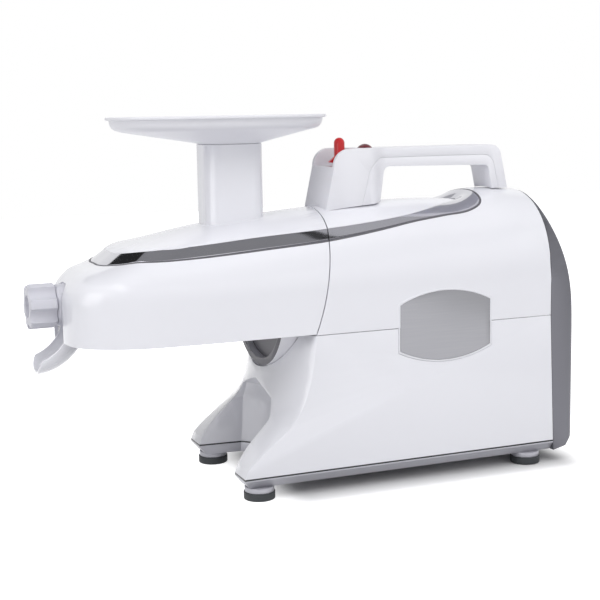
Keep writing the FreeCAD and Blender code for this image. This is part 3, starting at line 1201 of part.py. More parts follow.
def electrics():
    capacitor_y = HALF_WIDTH - SHELL_WALL - CAPACITOR_GAP - CAPACITOR_RADIUS
    at = (STATOR_FRONT_X + 4, capacitor_y, PLATE_BOTTOM_Z + PLATE_FLOOR + CAPACITOR_RADIUS)
    capacitor = along_x(*at, CAPACITOR_RADIUS, CAPACITOR_LENGTH)
    save("run_capacitor", capacitor.makeFillet(CAPACITOR_EDGE, [e for e in capacitor.Edges if e.Closed]))

    face_x = BACK_X - SOCKET_SINK
    back_x = face_x - SOCKET_DEPTH
    save("switch_body", socket_body(SWITCH_Y, back_x, face_x, SWITCH_ROOM))
    rocker_half = SOCKET_HALF - SOCKET_WALL - SEAT_GAP - RUN_GAP
    side = [[(face_x + x, z)] for x, z in ROCKER_SIDE]
    pivot_half = SOCKET_HALF - SOCKET_WALL - 0.1
    pivot_at = (face_x - ROCKER_PIVOT, -pivot_half, INLET_Z)
    pivot = cylinder((0, 1, 0), pivot_at, ROCKER_PIVOT_RADIUS, 2 * pivot_half)
    rocker = side_prism(side_outline(side, INLET_Z), rocker_half).fuse(pivot)
    save("switch_rocker", rocker.translate(Vector(0, SWITCH_Y, 0)))

    pins = []
    for offset in (-PIN_PITCH, 0.0, PIN_PITCH):
        y = INLET_Y + offset
        pins.append(box(face_x - INLET_ROOM - 1, face_x - PIN_SINK, y - PIN_HALF, y + PIN_HALF,
                        INLET_Z - PIN_RISE, INLET_Z + PIN_RISE))
    save("mains_inlet", socket_body(INLET_Y, back_x, face_x, INLET_ROOM).fuse(pins))


def badge_plates():
    plates = badge_prism(0.0, HALF_WIDTH - BADGE_THICK + SEAT_GAP)
    plates = plates.common(box(-BACK_X, BACK_X, -HALF_WIDTH, HALF_WIDTH, 0, BACK_X))
    save("badge_plates", *plates.Solids)
    rims = badge_prism(BADGE_RIM, HALF_WIDTH - BADGE_THICK + SEAT_GAP).cut(badge_prism(SEAT_GAP, 0.0))
    rim_y = HALF_WIDTH + BADGE_RIM_PROUD
    rims = rims.common(box(-BACK_X, BACK_X, -rim_y, rim_y, 0, BACK_X))
    save("badge_rims", *rims.Solids)


def main():
    os.makedirs("parts", exist_ok=True)
    skin = skin_solid(0.0, 100.0)
    inner = skin_solid(SHELL_WALL, 99.0)
    crown_top = crown_solid(0.0, 150.0)
    crown_under = crown_solid(CROWN_WALL, 149.0)
    band = band_half(skin, 1).fuse(band_half(skin, -1))
    hood(skin, inner, crown_top, crown_under, band)
    hopper_tray()
    save("body_upper_shell", upper_shell(skin, inner))
    outside = seam_sphere(SEAM_GAP / 2)
    panel = crown_top.common(plan_prism(BAND_INNER, SEAT_GAP, 150, 300)).cut(crown_under)
    save("body_crown", panel.cut(outside))
    save("body_chrome", band.cut(outside))
    base_shell()
    base_plate()
    feet()
    rear_cover()
    handle(skin, crown_top)
    badge_plates()
    clamp(juicing_chamber(twin_gears()))
    pulp_outlet()
    outlet_knob()
    gear_train()
    gearbox(motor())
    electrics()


main()
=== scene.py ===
# %% [markdown]
# # A twin gear juicer, dressed for its portrait
# The machine is a long white case on four feet. A hood covers the pressing gears at the front, an
# oval tray feeds them through a chute, a chrome band runs round the top, and a carry handle with a
# red lever bridges the back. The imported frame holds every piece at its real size, so this lesson
# only gives the outer pieces softer edges and smoother skins, and gives every surface its finish.

# %% Load the frame
import json
import math

import bmesh
import bpy
import numpy as np
from mathutils import Matrix, Vector


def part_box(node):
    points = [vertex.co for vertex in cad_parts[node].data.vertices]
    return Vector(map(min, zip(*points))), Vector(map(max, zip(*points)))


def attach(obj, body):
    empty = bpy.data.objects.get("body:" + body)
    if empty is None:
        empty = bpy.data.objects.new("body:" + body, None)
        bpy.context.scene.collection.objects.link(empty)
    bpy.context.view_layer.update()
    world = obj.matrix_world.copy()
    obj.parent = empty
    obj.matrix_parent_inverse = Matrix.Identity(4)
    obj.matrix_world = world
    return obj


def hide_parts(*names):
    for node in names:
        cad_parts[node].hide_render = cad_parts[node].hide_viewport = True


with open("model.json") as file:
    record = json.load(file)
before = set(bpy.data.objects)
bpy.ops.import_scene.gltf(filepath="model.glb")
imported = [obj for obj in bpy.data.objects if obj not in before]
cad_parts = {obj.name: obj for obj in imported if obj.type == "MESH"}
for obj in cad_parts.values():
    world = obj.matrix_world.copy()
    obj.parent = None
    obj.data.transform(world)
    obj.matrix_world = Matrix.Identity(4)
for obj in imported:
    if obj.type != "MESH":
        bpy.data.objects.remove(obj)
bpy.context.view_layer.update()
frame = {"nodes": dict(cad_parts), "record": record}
NODES = frame["nodes"]
SUBPARTS = frame["record"]["subparts"]

# %% [markdown]
# ## The picture's view
# The camera stands where the photographer stood. Its place and turn were found by matching the
# feet, the collar, the tray and the handle to one another. The lens is given by the sensor's width
# and the focal length in pixels of a 600 pixel picture.

# %% Camera
EYE = Vector((-0.4089, -1.0164, 0.3189))
YAW, PITCH, ROLL = math.radians(22.0), math.radians(8.5), math.radians(-1.0)
FOCAL_PIXELS, PICTURE_PIXELS, SENSOR = 1250.5, 600, 36.0
NEAREST = 0.05

ahead_x, ahead_y = math.sin(YAW) * math.cos(PITCH), math.cos(YAW) * math.cos(PITCH)
forward = Vector((ahead_x, ahead_y, -math.sin(PITCH)))
level = Vector((math.cos(YAW), -math.sin(YAW), 0.0))
upright = level.cross(forward)
right = level * math.cos(ROLL) + upright * math.sin(ROLL)
up = upright * math.cos(ROLL) - level * math.sin(ROLL)
turned_to = Matrix((right, up, -forward)).transposed().to_4x4()
camera = bpy.data.objects.new("camera", bpy.data.cameras.new("camera"))
camera.data.sensor_width = SENSOR
camera.data.lens = FOCAL_PIXELS / PICTURE_PIXELS * SENSOR
camera.data.clip_start = NEAREST
camera.matrix_world = Matrix.Translation(EYE) @ turned_to
bpy.context.collection.objects.link(camera)
bpy.context.scene.camera = camera
print("lens", round(camera.data.lens, 2))

# %% [markdown]
# ## Node helpers
# World, floor and finishes are all built from a few kinds of node. These helpers add one node each
# and hand back its output, so a chain of nodes reads like a sum. The last one tells whether a ray
# comes straight from the camera, a mirror or glass.

# %% Node helpers
def feed(tree, place, value):
    """Sets a socket to a plain number, or links another node's output to it."""
    if isinstance(value, (int, float)):
        place.default_value = value
    else:
        tree.links.new(value, place)


def math_node(tree, operation, *values):
    """One step of arithmetic on numbers or on other nodes' outputs."""
    node = tree.nodes.new("ShaderNodeMath")
    node.operation = operation
    for place, value in zip(node.inputs, values):
        feed(tree, place, value)
    return node.outputs[0]


def scaled(tree, color, factor):
    """A colour made lighter or darker by a factor."""
    node = tree.nodes.new("ShaderNodeVectorMath")
    node.operation = "SCALE"
    tree.links.new(color, node.inputs[0])
    tree.links.new(factor, node.inputs["Scale"])
    return node.outputs["Vector"]


def object_coords(tree):
    """The place on the object, in metres."""
    return tree.nodes.new("ShaderNodeTexCoord").outputs["Object"]


def ray_is_seen(tree):
    """1 where the camera, a mirror or glass looks straight at the surface, else 0."""
    path = tree.nodes.new("ShaderNodeLightPath").outputs
    seen = math_node(tree, "MAXIMUM", path["Is Camera Ray"], path["Is Glossy Ray"])
    return math_node(tree, "MAXIMUM", seen, path["Is Transmission Ray"])


print("node helpers ready")

# %% [markdown]
# ## White room
# A product picture on white is lit by large soft panels. The world looks white to the camera and in
# mirrors, but lights the machine at a lower, even level, so pale shells keep their shading.

# %% World
AMBIENT = 0.32

scene = bpy.context.scene
scene.view_settings.view_transform = "Standard"
world = bpy.data.worlds.new("white_room")
scene.world = world
world.use_nodes = True
sky_tree = world.node_tree
sky = sky_tree.nodes["Background"].inputs
sky["Color"].default_value = (1.0, 1.0, 1.0, 1.0)
strength = sky_tree.nodes.new("ShaderNodeMapRange")
strength.inputs["To Min"].default_value = AMBIENT
sky_tree.links.new(ray_is_seen(sky_tree), strength.inputs["Value"])
sky_tree.links.new(strength.outputs["Result"], sky["Strength"])
print("ambient light", AMBIENT)

# %% [markdown]
# Four panels light the machine: a large one above, one from the camera's right, one at the nose and
# one behind. Glossy plastic shows each panel as a bright patch. Two of the panels would put a patch
# where the picture has none, so mirror rays pass through them.

# %% Lamps
LAMP_TARGET = Vector((0.0, 0.0, 0.15))


def lamp(name, at, size, power, mirrored=True):
    """A soft rectangular panel that faces the machine."""
    data = bpy.data.lights.new(name, "AREA")
    data.shape = "RECTANGLE"
    data.size, data.size_y = size
    data.energy = power
    holder = bpy.data.objects.new(name, data)
    holder.location = at
    holder.rotation_euler = (LAMP_TARGET - Vector(at)).to_track_quat("-Z", "Y").to_euler()
    holder.visible_glossy = mirrored
    bpy.context.collection.objects.link(holder)
    print(name, power, "W")


lamp("top_panel", (-0.1, -0.65, 1.4), (1.8, 1.2), 14.0)
lamp("side_panel", (0.7, -1.5, 0.8), (1.6, 1.0), 6.5, mirrored=False)
lamp("front_panel", (-1.5, -0.5, 0.6), (1.0, 1.0), 6.2)
lamp("back_panel", (0.4, 1.7, 0.9), (1.6, 1.0), 5.0, mirrored=False)

# %% [markdown]
# Chrome has no colour of its own: it shows the room. In the picture the band is mostly mid grey,
# with black patches at its front corner and in front of the seam, and lighter behind the seam. Five
# cards overhead are what it mirrors there. Only mirror rays meet them, so they neither shade nor
# light the white shells. Painting the patches on would look wrong from any other side.

# %% Cards for the chrome
CARD_Z = 1.1


def level_sheet(name, low, high, z):
    """A level sheet between two plan corners, and the node tree of its material."""
    mesh = bpy.data.meshes.new(name)
    (x0, y0), (x1, y1) = low, high
    mesh.from_pydata([(x0, y0, 0), (x1, y0, 0), (x1, y1, 0), (x0, y1, 0)], [], [(0, 1, 2, 3)])
    sheet = bpy.data.objects.new(name, mesh)
    sheet.location.z = z
    bpy.context.collection.objects.link(sheet)
    paint = bpy.data.materials.new(name)
    paint.use_nodes = True
    mesh.materials.append(paint)
    return sheet, paint.node_tree


def card(name, low, high, brightness):
    """A sheet that only mirror rays see, with its own brightness."""
    sheet, tree = level_sheet(name, low, high, CARD_Z)
    shader = tree.nodes["Principled BSDF"].inputs
    shader["Base Color"].default_value = (0.0, 0.0, 0.0, 1.0)
    shader["Specular IOR Level"].default_value = 0.0
    shader["Emission Color"].default_value = (0.97, 0.97, 1.0, 1.0)
    shader["Emission Strength"].default_value = brightness
    sheet.visible_camera = False
    sheet.visible_diffuse = False
    sheet.visible_shadow = False
    sheet.visible_transmission = False


card("card_side", (-0.65, -1.8), (1.0, -0.78), 0.30)
card("card_front", (-0.65, -0.78), (0.1, 0.13), 0.30)
card("card_nose", (-0.85, 0.13), (-0.2, 1.35), 0.03)
card("card_seam", (0.1, -0.78), (1.0, -0.64), 0.03)
card("card_back", (0.1, -0.64), (1.0, 1.1), 0.55)
print("five cards at", CARD_Z)

# %% [markdown]
# The floor is one large sheet of white paper. Its own light grows with the distance from the
# machine, so the paper stays white all round while the shade under the plate and the feet stays
# dark. That distance is measured from a rectangle a little smaller than the machine's footprint.

# %% Floor
FLOOR_SIZE, FLOOR_Z = 6.0, -0.0002
FOOTPRINT_MIDDLE, FOOTPRINT_HALF = (0.10, 0.0, 0.0), (0.12, 0.072, 1.0)
SHADE_REACH = 0.05

half = FLOOR_SIZE / 2
floor, floor_tree = level_sheet("floor", (-half, -half), (half, half), FLOOR_Z)
offset = object_coords(floor_tree)
for operation, amount in (("SUBTRACT", FOOTPRINT_MIDDLE), ("ABSOLUTE", None),
                          ("SUBTRACT", FOOTPRINT_HALF), ("MAXIMUM", (0.0, 0.0, 0.0)),
                          ("LENGTH", None)):
    step = floor_tree.nodes.new("ShaderNodeVectorMath")
    step.operation = operation
    floor_tree.links.new(offset, step.inputs[0])
    if amount:
        step.inputs[1].default_value = amount
    offset = step.outputs["Value" if operation == "LENGTH" else "Vector"]
rise = floor_tree.nodes.new("ShaderNodeMapRange")
rise.interpolation_type = "SMOOTHSTEP"
rise.inputs["From Max"].default_value = SHADE_REACH
floor_tree.links.new(offset, rise.inputs["Value"])
glow = math_node(floor_tree, "MULTIPLY", ray_is_seen(floor_tree), rise.outputs["Result"])
paper = floor_tree.nodes["Principled BSDF"].inputs
paper["Base Color"].default_value = (0.7, 0.7, 0.71, 1.0)
paper["Roughness"].default_value = 0.9
paper["Specular IOR Level"].default_value = 0.1
paper["Emission Color"].default_value = (1.0, 1.0, 1.0, 1.0)
floor_tree.links.new(glow, paper["Emission Strength"])
print("floor", FLOOR_SIZE)

# %% [markdown]
# ## Finishes
# Nearly every surface is moulded plastic or plated metal. A mould leaves a faint ripple and a slow
# change of tone, so one node group adds both, and each finish sets how strong they are. The group
# hands out only a colour, a roughness and a height; the shader stays in the material.

# %% Shared group: moulded surface
SOCKET_OF = {1: "NodeSocketFloat", 3: "NodeSocketVector", 4: "NodeSocketColor"}
CLOUD_SCALE, SMUDGE_SCALE = 14.0, 55.0


def new_group(name, inputs):
    """A node group with these inputs, and the outputs that every finish needs."""
    group = bpy.data.node_groups.new(name, "ShaderNodeTree")
    for label, value in inputs.items():
        kind = SOCKET_OF[np.size(value)]
        made = group.interface.new_socket(name=label, in_out="INPUT", socket_type=kind)
        made.default_value = value
    for label, size in (("Color", 4), ("Roughness", 1), ("Height", 1)):
        group.interface.new_socket(name=label, in_out="OUTPUT", socket_type=SOCKET_OF[size])
    return group, group.nodes.new("NodeGroupInput").outputs


def close_group(group, **results):
    """Links what the group has worked out to its outputs."""
    end = group.nodes.new("NodeGroupOutput").inputs
    for label, value in results.items():
        group.links.new(value, end[label.capitalize()])
    print("group", group.name)


def noise(tree, coords, scale, detail=2.0):
    """Soft random values from 0 to 1 over the surface."""
    texture = tree.nodes.new("ShaderNodeTexNoise")
    texture.inputs["Detail"].default_value = detail
    feed(tree, texture.inputs["Scale"], scale)
    tree.links.new(coords, texture.inputs["Vector"])
    return texture.outputs["Fac"]


moulded, given = new_group("moulded_surface", {
    "Color": (0.8, 0.8, 0.8, 1.0), "Tone": 0.03, "Roughness": 0.3, "Spread": 0.05, "Grain": 900.0})
coords = object_coords(moulded)
cloud = math_node(moulded, "SUBTRACT", noise(moulded, coords, CLOUD_SCALE), 0.5)
smudge = math_node(moulded, "SUBTRACT", noise(moulded, coords, SMUDGE_SCALE, detail=4.0), 0.5)
tone = math_node(moulded, "MULTIPLY_ADD", cloud, given["Tone"], 1.0)
close_group(moulded, color=scaled(moulded, given["Color"], tone),
            roughness=math_node(moulded, "MULTIPLY_ADD", smudge, given["Spread"],
                                given["Roughness"]),
            height=noise(moulded, coords, given["Grain"]))

# %% [markdown]
# Turned, ground or brushed metal has fine parallel lines. The second group stretches a noise along
# one direction, which is chosen by a vector of scales. Its lines change the tone, the roughness and
# the height together, as real scratches do.

# %% Shared group: brushed lines
LINE_TONE = 0.12

brushed, given = new_group("brushed_lines", {
    "Color": (0.6, 0.6, 0.6, 1.0), "Stretch": (40.0, 1500.0, 1500.0), "Roughness": 0.3,
    "Spread": 0.12})
stretched = brushed.nodes.new("ShaderNodeVectorMath")
stretched.operation = "MULTIPLY"
brushed.links.new(object_coords(brushed), stretched.inputs[0])
brushed.links.new(given["Stretch"], stretched.inputs[1])
lines = noise(brushed, stretched.outputs["Vector"], 1.0, detail=3.0)
centred = math_node(brushed, "SUBTRACT", lines, 0.5)
tone = math_node(brushed, "MULTIPLY_ADD", centred, LINE_TONE, 1.0)
close_group(brushed, color=scaled(brushed, given["Color"], tone),
            roughness=math_node(brushed, "MULTIPLY_ADD", centred, given["Spread"],
                                given["Roughness"]),
            height=lines)

# %% [markdown]
# A finish is a material with one of the two groups. The helper connects the group, adds a bump for
# the grain, and sets what is the same all over straight on the shader.

# %% Finish helper
GRAIN_DEPTH = 0.00002
FINISHES = {}


def finish(name, color, group=moulded, bump=0.02, metallic=0.0, coat=0.0, **settings):
    """A material from a surface group; settings are the group's own inputs."""
    material = bpy.data.materials.new(name)
    material.use_nodes = True
    tree = material.node_tree
    surface = tree.nodes.new("ShaderNodeGroup")
    surface.node_tree = group
    surface.inputs["Color"].default_value = (*color, 1.0)
    for key, value in settings.items():
        surface.inputs[key.capitalize()].default_value = value
    relief = tree.nodes.new("ShaderNodeBump")
    relief.inputs["Strength"].default_value = bump
    relief.inputs["Distance"].default_value = GRAIN_DEPTH
    tree.links.new(surface.outputs["Height"], relief.inputs["Height"])
    shader = tree.nodes["Principled BSDF"].inputs
    tree.links.new(surface.outputs["Color"], shader["Base Color"])
    tree.links.new(surface.outputs["Roughness"], shader["Roughness"])
    tree.links.new(relief.outputs["Normal"], shader["Normal"])
    shader["Metallic"].default_value = metallic
    shader["Coat Weight"].default_value = coat
    FINISHES[name] = material


print("finish helper ready")

# %% [markdown]
# First come the surfaces that the picture shows. The shells are glossy white plastic with a thin
# clear layer, the tray and the handle are satin, and the knob is a greyer plastic. Each colour is
# the part's own, as it looks in plain light.

# %% Outer finishes
finish("white_gloss", (0.80, 0.803, 0.853), roughness=0.2, spread=0.05, tone=0.02, grain=500.0,
       bump=0.015, coat=0.35)
finish("white_satin", (0.80, 0.80, 0.845), roughness=0.42, spread=0.06, tone=0.03, grain=1400.0,
       bump=0.06)
finish("grey_knob", (0.60, 0.60, 0.66), roughness=0.45, spread=0.06, tone=0.03, grain=1600.0,
       bump=0.08)
finish("silver_grey", (0.15, 0.15, 0.17), roughness=0.38, spread=0.06, tone=0.05, grain=2600.0,
       bump=0.05, metallic=0.6)
finish("plate_grey", (0.42, 0.42, 0.46), roughness=0.34, spread=0.06, tone=0.05, grain=2600.0,
       bump=0.05, metallic=0.3)
finish("badge_silver", (0.30, 0.30, 0.32), group=brushed, stretch=(30.0, 900.0, 900.0),
       roughness=0.36, spread=0.15, metallic=0.75)
finish("band_chrome", (0.62, 0.62, 0.66), roughness=0.09, spread=0.03, tone=0.02, grain=300.0,
       bump=0.01, metallic=1.0)
finish("red_lever", (0.56, 0.007, 0.011), roughness=0.28, spread=0.04, tone=0.05, grain=700.0,
       coat=0.15)
finish("dark_red", (0.13, 0.006, 0.014), roughness=0.16, spread=0.04, tone=0.05, grain=700.0,
       coat=0.6)
finish("foot_rubber", (0.028, 0.032, 0.036), roughness=0.62, spread=0.12, tone=0.2, grain=2500.0,
       bump=0.25)
# dark_plastic is also used as painted shade on the juicing housing, the collar face and the band's
# groove.
finish("dark_plastic", (0.12, 0.117, 0.135), roughness=0.5, spread=0.08, tone=0.05, grain=1800.0,
       bump=0.15)
print(len(FINISHES), "outer finishes")

# %% [markdown]
# Next come the surfaces inside and at the back: steel gears, zinc plated screws, the motor's iron
# and copper, cast alloy cases, bronze bushes and black plastic. They show when the hood is lifted
# or the part is taken to pieces, so they get the same care.

# %% Inner finishes
finish("black_plastic", (0.022, 0.022, 0.026), roughness=0.35, spread=0.08, tone=0.08, grain=1800.0,
       bump=0.12)
finish("gear_steel", (0.56, 0.56, 0.58), group=brushed, stretch=(30.0, 1200.0, 1200.0),
       roughness=0.28, metallic=1.0)
finish("zinc_steel", (0.58, 0.58, 0.57), group=brushed, stretch=(700.0, 700.0, 700.0),
       roughness=0.32, metallic=1.0)
finish("stator_iron", (0.16, 0.16, 0.17), group=brushed, stretch=(3200.0, 60.0, 60.0),
       roughness=0.5, metallic=0.8)
finish("copper_wire", (0.55, 0.22, 0.09), group=brushed, stretch=(2600.0, 300.0, 300.0),
       roughness=0.35, metallic=1.0)
finish("cast_alloy", (0.52, 0.53, 0.55), roughness=0.5, spread=0.14, tone=0.1, grain=1500.0,
       bump=0.4, metallic=0.9)
finish("bush_bronze", (0.45, 0.29, 0.13), roughness=0.45, spread=0.12, tone=0.12, grain=2800.0,
       bump=0.3, metallic=1.0)
finish("chamber_white", (0.42, 0.42, 0.46), roughness=0.4, spread=0.06, tone=0.03, grain=1400.0,
       bump=0.06)
print(len(FINISHES), "finishes in all")

# %% [markdown]
# The frame names a kind of material for each piece, and nearly every piece takes the finish of that
# name. Three pieces have their own: the base plate and the foot posts take the plate's grey, and
# the juicing housing takes a dark finish as painted shade, for the shadow inside the collar.

# %% Finish of each frame piece
# The juicing housing's dark finish is painted shade.
OWN_FINISH_AND_PAINTED_SHADE = {"base_plate": "plate_grey", "foot_posts": "plate_grey",
              "juicing_housing": "dark_plastic"}

for part in SUBPARTS:
    finish_name = OWN_FINISH_AND_PAINTED_SHADE.get(part["node"], part["material_slot"])
    NODES[part["node"]].data.materials.clear()
    NODES[part["node"]].data.materials.append(FINISHES[finish_name])
print(len(SUBPARTS), "pieces painted")

# %% [markdown]
# Where the white shell sits on the grey plate, a fine dark line of painted shade runs round the
# machine, for the shadow under the shell's edge. The last millimetre under the plate's top is
# painted dark by its height, which needs no extra piece.

# %% Painted shade line on the plate
SHADE_LINE_HEIGHT, SHADE_LINE_DARKNESS = 0.0011, 0.93

plate_tree = FINISHES["plate_grey"].node_tree
place = plate_tree.nodes.new("ShaderNodeSeparateXYZ")
plate_tree.links.new(object_coords(plate_tree), place.inputs["Vector"])
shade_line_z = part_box("base_plate")[1][2] - SHADE_LINE_HEIGHT
# Painted shade: the top of the plate's wall is darkened under the shell's edge.
in_shade_line = math_node(plate_tree, "GREATER_THAN", place.outputs["Z"], shade_line_z)
share = math_node(plate_tree, "MULTIPLY_ADD", in_shade_line, -SHADE_LINE_DARKNESS, 1.0)
plate_color = plate_tree.nodes["Principled BSDF"].inputs["Base Color"]
plain_color = plate_color.links[0].from_socket
plate_tree.links.new(scaled(plate_tree, plain_color, share), plate_color)
print("joint line", SHADE_LINE_HEIGHT)

# %% [markdown]
# ## The skin of the case
# The hood and the body share one smooth skin, as if both were cut from one block of soap. Its shape
# is kept as a few cross-sections from nose to tail: how far it reaches to the side, how high it is
# in the middle and how square its shoulder is. A sculpted block would be harder to keep at the
# frame's sizes. Sizes are in millimetres here, because they are easier to read; a mesh is made in
# metres by multiplying with MM.

# %% Cross-sections of the case
MM = 0.001
WALL = 3.0
SHOULDER_Z, PARTING_Z, HOOD_RIM_Z = 165.0, 136.0, 137.0
NOSE_X, REAR_X = -213.0, 213.7
SEAM_RADIUS, SEAM_X, SEAM_Z = 200.0, -186.0, 206.0
SEAM_HALF_GAP, PARTING_HALF_GAP, SEAT_GAP = 0.4, 0.25, 0.2

# x, half width, top z, squareness of the shoulder
SKIN = np.array([
    (-213.0, 20.0, 175.5, 3.2), (-211.5, 30.0, 179.0, 3.2), (-208.0, 41.5, 183.5, 3.2),
    (-203.0, 49.5, 189.0, 3.2), (-195.5, 56.5, 194.5, 3.2), (-184.0, 63.5, 198.2, 3.2),
    (-171.0, 69.0, 203.2, 3.2), (-152.0, 73.2, 211.2, 2.9), (-108.0, 75.0, 218.0, 2.6),
    (-60.0, 75.0, 225.5, 2.45), (3.0, 75.0, 235.3, 2.35), (52.0, 75.0, 240.4, 2.35),
    (89.0, 75.0, 242.0, 2.35), (120.0, 75.0, 242.4, 2.35), (150.0, 75.0, 244.4, 2.35),
    (178.0, 75.0, 247.8, 2.35), (213.7, 75.0, 246.4, 2.35)])

# The top panel: x, height on the centre line, fall in z per square millimetre of y
CROWN = np.array([
    (-190.0, 203.5, 0.0002), (-169.0, 208.2, 0.0003), (-153.0, 212.6, 0.0008),
    (-130.0, 218.6, 0.0020), (-108.0, 223.9, 0.0032), (-60.0, 231.0, 0.0042),
    (3.0, 237.0, 0.0050), (60.0, 240.2, 0.0053), (100.0, 240.8, 0.0055),
    (135.0, 240.2, 0.0056), (158.0, 238.2, 0.0057), (190.0, 233.0, 0.0057)])
print(len(SKIN), "sections of the skin,", len(CROWN), "of the top panel")

# %% [markdown]
# Between the sections the skin has to run as smoothly as the real one. A Catmull-Rom curve passes
# through every section and keeps a steady slope there, so no section shows as a crease. From these
# curves come the height of the skin, the height of the top panel, and the place of the seam.

# %% Heights and the seam
def blend_rows(table, x):
    """Smooth value of each column of a station table at every x (Catmull-Rom)."""
    xs = table[:, 0]
    x = np.clip(np.asarray(x, float), xs[0], xs[-1])
    slopes = np.empty_like(table[:, 1:])
    slopes[1:-1] = (table[2:, 1:] - table[:-2, 1:]) / (xs[2:] - xs[:-2])[:, None]
    slopes[0] = (table[1, 1:] - table[0, 1:]) / (xs[1] - xs[0])
    slopes[-1] = (table[-1, 1:] - table[-2, 1:]) / (xs[-1] - xs[-2])
    i = np.clip(np.searchsorted(xs, x, side="right") - 1, 0, len(xs) - 2)
    h = (xs[i + 1] - xs[i])[..., None]
    t = ((x - xs[i])[..., None]) / h
    return ((2 * t**3 - 3 * t**2 + 1) * table[i, 1:] + (t**3 - 2 * t**2 + t) * slopes[i] * h
            + (3 * t**2 - 2 * t**3) * table[i + 1, 1:] + (t**3 - t**2) * slopes[i + 1] * h)


def skin_z(x, y):
    """Height of the skin above a plan point."""
    half, top, power = np.moveaxis(blend_rows(SKIN, x), -1, 0)
    share = np.clip(np.abs(y) / half, 0.0, 1.0)
    return SHOULDER_Z + (top - SHOULDER_Z) * (1.0 - share**power) ** (1.0 / power)


def crown_z(x, y):
    """Height of the top panel above a plan point."""
    height, fall = np.moveaxis(blend_rows(CROWN, x), -1, 0)
    return height - fall * y * y


def seam_x(y, z, offset=0.0):
    """Where the ball-shaped seam between hood and body passes."""
    return SEAM_X + np.sqrt((SEAM_RADIUS + offset)**2 - y**2 - (z - SEAM_Z)**2)


print("skin height over the middle", round(float(skin_z(0.0, 0.0)), 1))

# %% [markdown]
# The chrome band is a long loop in plan, round at the nose and narrow at the tail. Half of each of
# its two lines is enough, because the machine is the same on both sides. A smooth curve through the
# points needs to know how the line goes on past the middle, so each half line is run on across it.

# %% Lines of the chrome band
LINE_STEPS = 600

# Plan points from nose to tail: the outer line lies on the skin, the inner line on the top panel
BAND_OUTER = np.array([
    (-181.5, 0.0), (-181.2, 16.0), (-176.5, 31.0), (-165.5, 45.5), (-146.0, 55.5), (-108.0, 58.5),
    (-50.0, 59.5), (3.0, 60.0), (52.0, 57.5), (90.0, 53.0), (120.0, 49.5), (145.0, 47.5),
    (161.0, 40.0), (166.5, 22.0), (168.0, 0.0)])
BAND_INNER = np.array([
    (-168.5, 0.0), (-168.0, 15.5), (-164.5, 27.5), (-156.0, 41.0), (-141.0, 50.5), (-108.0, 54.5),
    (-50.0, 54.8), (3.0, 54.0), (49.0, 51.0), (82.0, 45.5), (108.0, 37.0), (128.0, 27.0),
    (143.0, 17.5), (154.0, 8.0), (158.0, 0.0)])


def smooth_line(points):
    """Dense smooth plan line through a half line, run on across y = 0 at both ends."""
    over = (1, -1)
    mirrored = np.vstack([points[2:0:-1] * over, points, points[-2:-4:-1] * over])
    steps = np.r_[0.0, np.cumsum(np.sqrt(np.hypot(*np.diff(mirrored, axis=0).T)))]
    first, last = steps[2], steps[2 + len(points) - 1]
    return blend_rows(np.column_stack([steps, mirrored]), np.linspace(first, last, LINE_STEPS))


OUTER_LINE, INNER_LINE = smooth_line(BAND_OUTER), smooth_line(BAND_INNER)
print("band lines", len(OUTER_LINE), len(INNER_LINE))

# %% [markdown]
# A skin is drawn as a grid of rays. Round the nose and round the tail the rays fan out from a
# centre on the middle line, and between the two centres they run straight out to the side. So the
# grid follows the rounded ends of the band and never bunches up.

# %% Rays
NOSE_CENTRE, TAIL_CENTRE = -120.0, 112.0
TO_NOSE, TO_TAIL = -1.0, 1.0
FARTHEST, HALVINGS = 260.0, 24


def fan(centre, way, first, last, count):
    """Rays as (start x, direction x, direction y), from the first angle to the last."""
    return [(centre, way * math.cos(t), math.sin(t)) for t in np.linspace(first, last, count)]


def reach(line, ray):
    """Distance from the ray's start to a plan line."""
    start, dx, dy = ray
    side = (line[:, 0] - start) * dy - line[:, 1] * dx
    ahead = (line[:, 0] - start) * dx + line[:, 1] * dy
    i = np.where((side[:-1] * side[1:] <= 0) & (ahead[:-1] > 0))[0][0]
    t = side[i] / (side[i] - side[i + 1] + 1e-12)
    return ahead[i] + t * (ahead[i + 1] - ahead[i])


def skin_reach(ray):
    """Distance along the ray to the edge of the skin in plan, found by halving."""
    start, dx, dy = ray
    inside, outside = 0.0, FARTHEST
    for _ in range(HALVINGS):
        step = (inside + outside) / 2
        x, y = start + dx * step, dy * step
        if y <= blend_rows(SKIN, x)[0] and NOSE_X <= x <= REAR_X:
            inside = step
        else:
            outside = step
    return inside


print("nose centre", NOSE_CENTRE, "tail centre", TAIL_CENTRE)

# %% [markdown]
# Along each ray the skin is sampled finely, most of all near its edge where it turns steep. The
# samples are then cut into steps of one length. Cells of about one size take the light evenly,
# where long thin ones would show as streaks in the gloss.

# %% Lines over the shoulder
OVER, DOWN = 34, 10
SAMPLES = 400


def even_steps(points, count):
    """The same line with count + 1 points, evenly spaced along it."""
    run = np.r_[0.0, np.cumsum(np.linalg.norm(np.diff(points, axis=0), axis=1))]
    at = np.linspace(0.0, run[-1], count + 1)
    return np.column_stack([np.interp(at, run, points[:, k]) for k in range(3)])


def over_shoulder(ray, count=OVER):
    """Evenly spaced skin points along a ray, from the band to the edge of the skin in plan."""
    start, dx, dy = ray
    near, far = reach(OUTER_LINE, ray) + SEAT_GAP, skin_reach(ray)
    r = near + (far - near) * np.sin(np.linspace(0.0, math.pi / 2, SAMPLES))
    x, y = start + dx * r, dy * r
    return even_steps(np.column_stack([x, y, skin_z(x, y)]), count)


def down_to(floor_z, ray):
    """The points over the shoulder, and on straight down to floor_z."""
    line = over_shoulder(ray)
    x, y, z = line[-1]
    below = np.linspace(z, floor_z, DOWN + 1)[1:]
    return np.vstack([line, np.column_stack([np.full(DOWN, x), np.full(DOWN, y), below])])


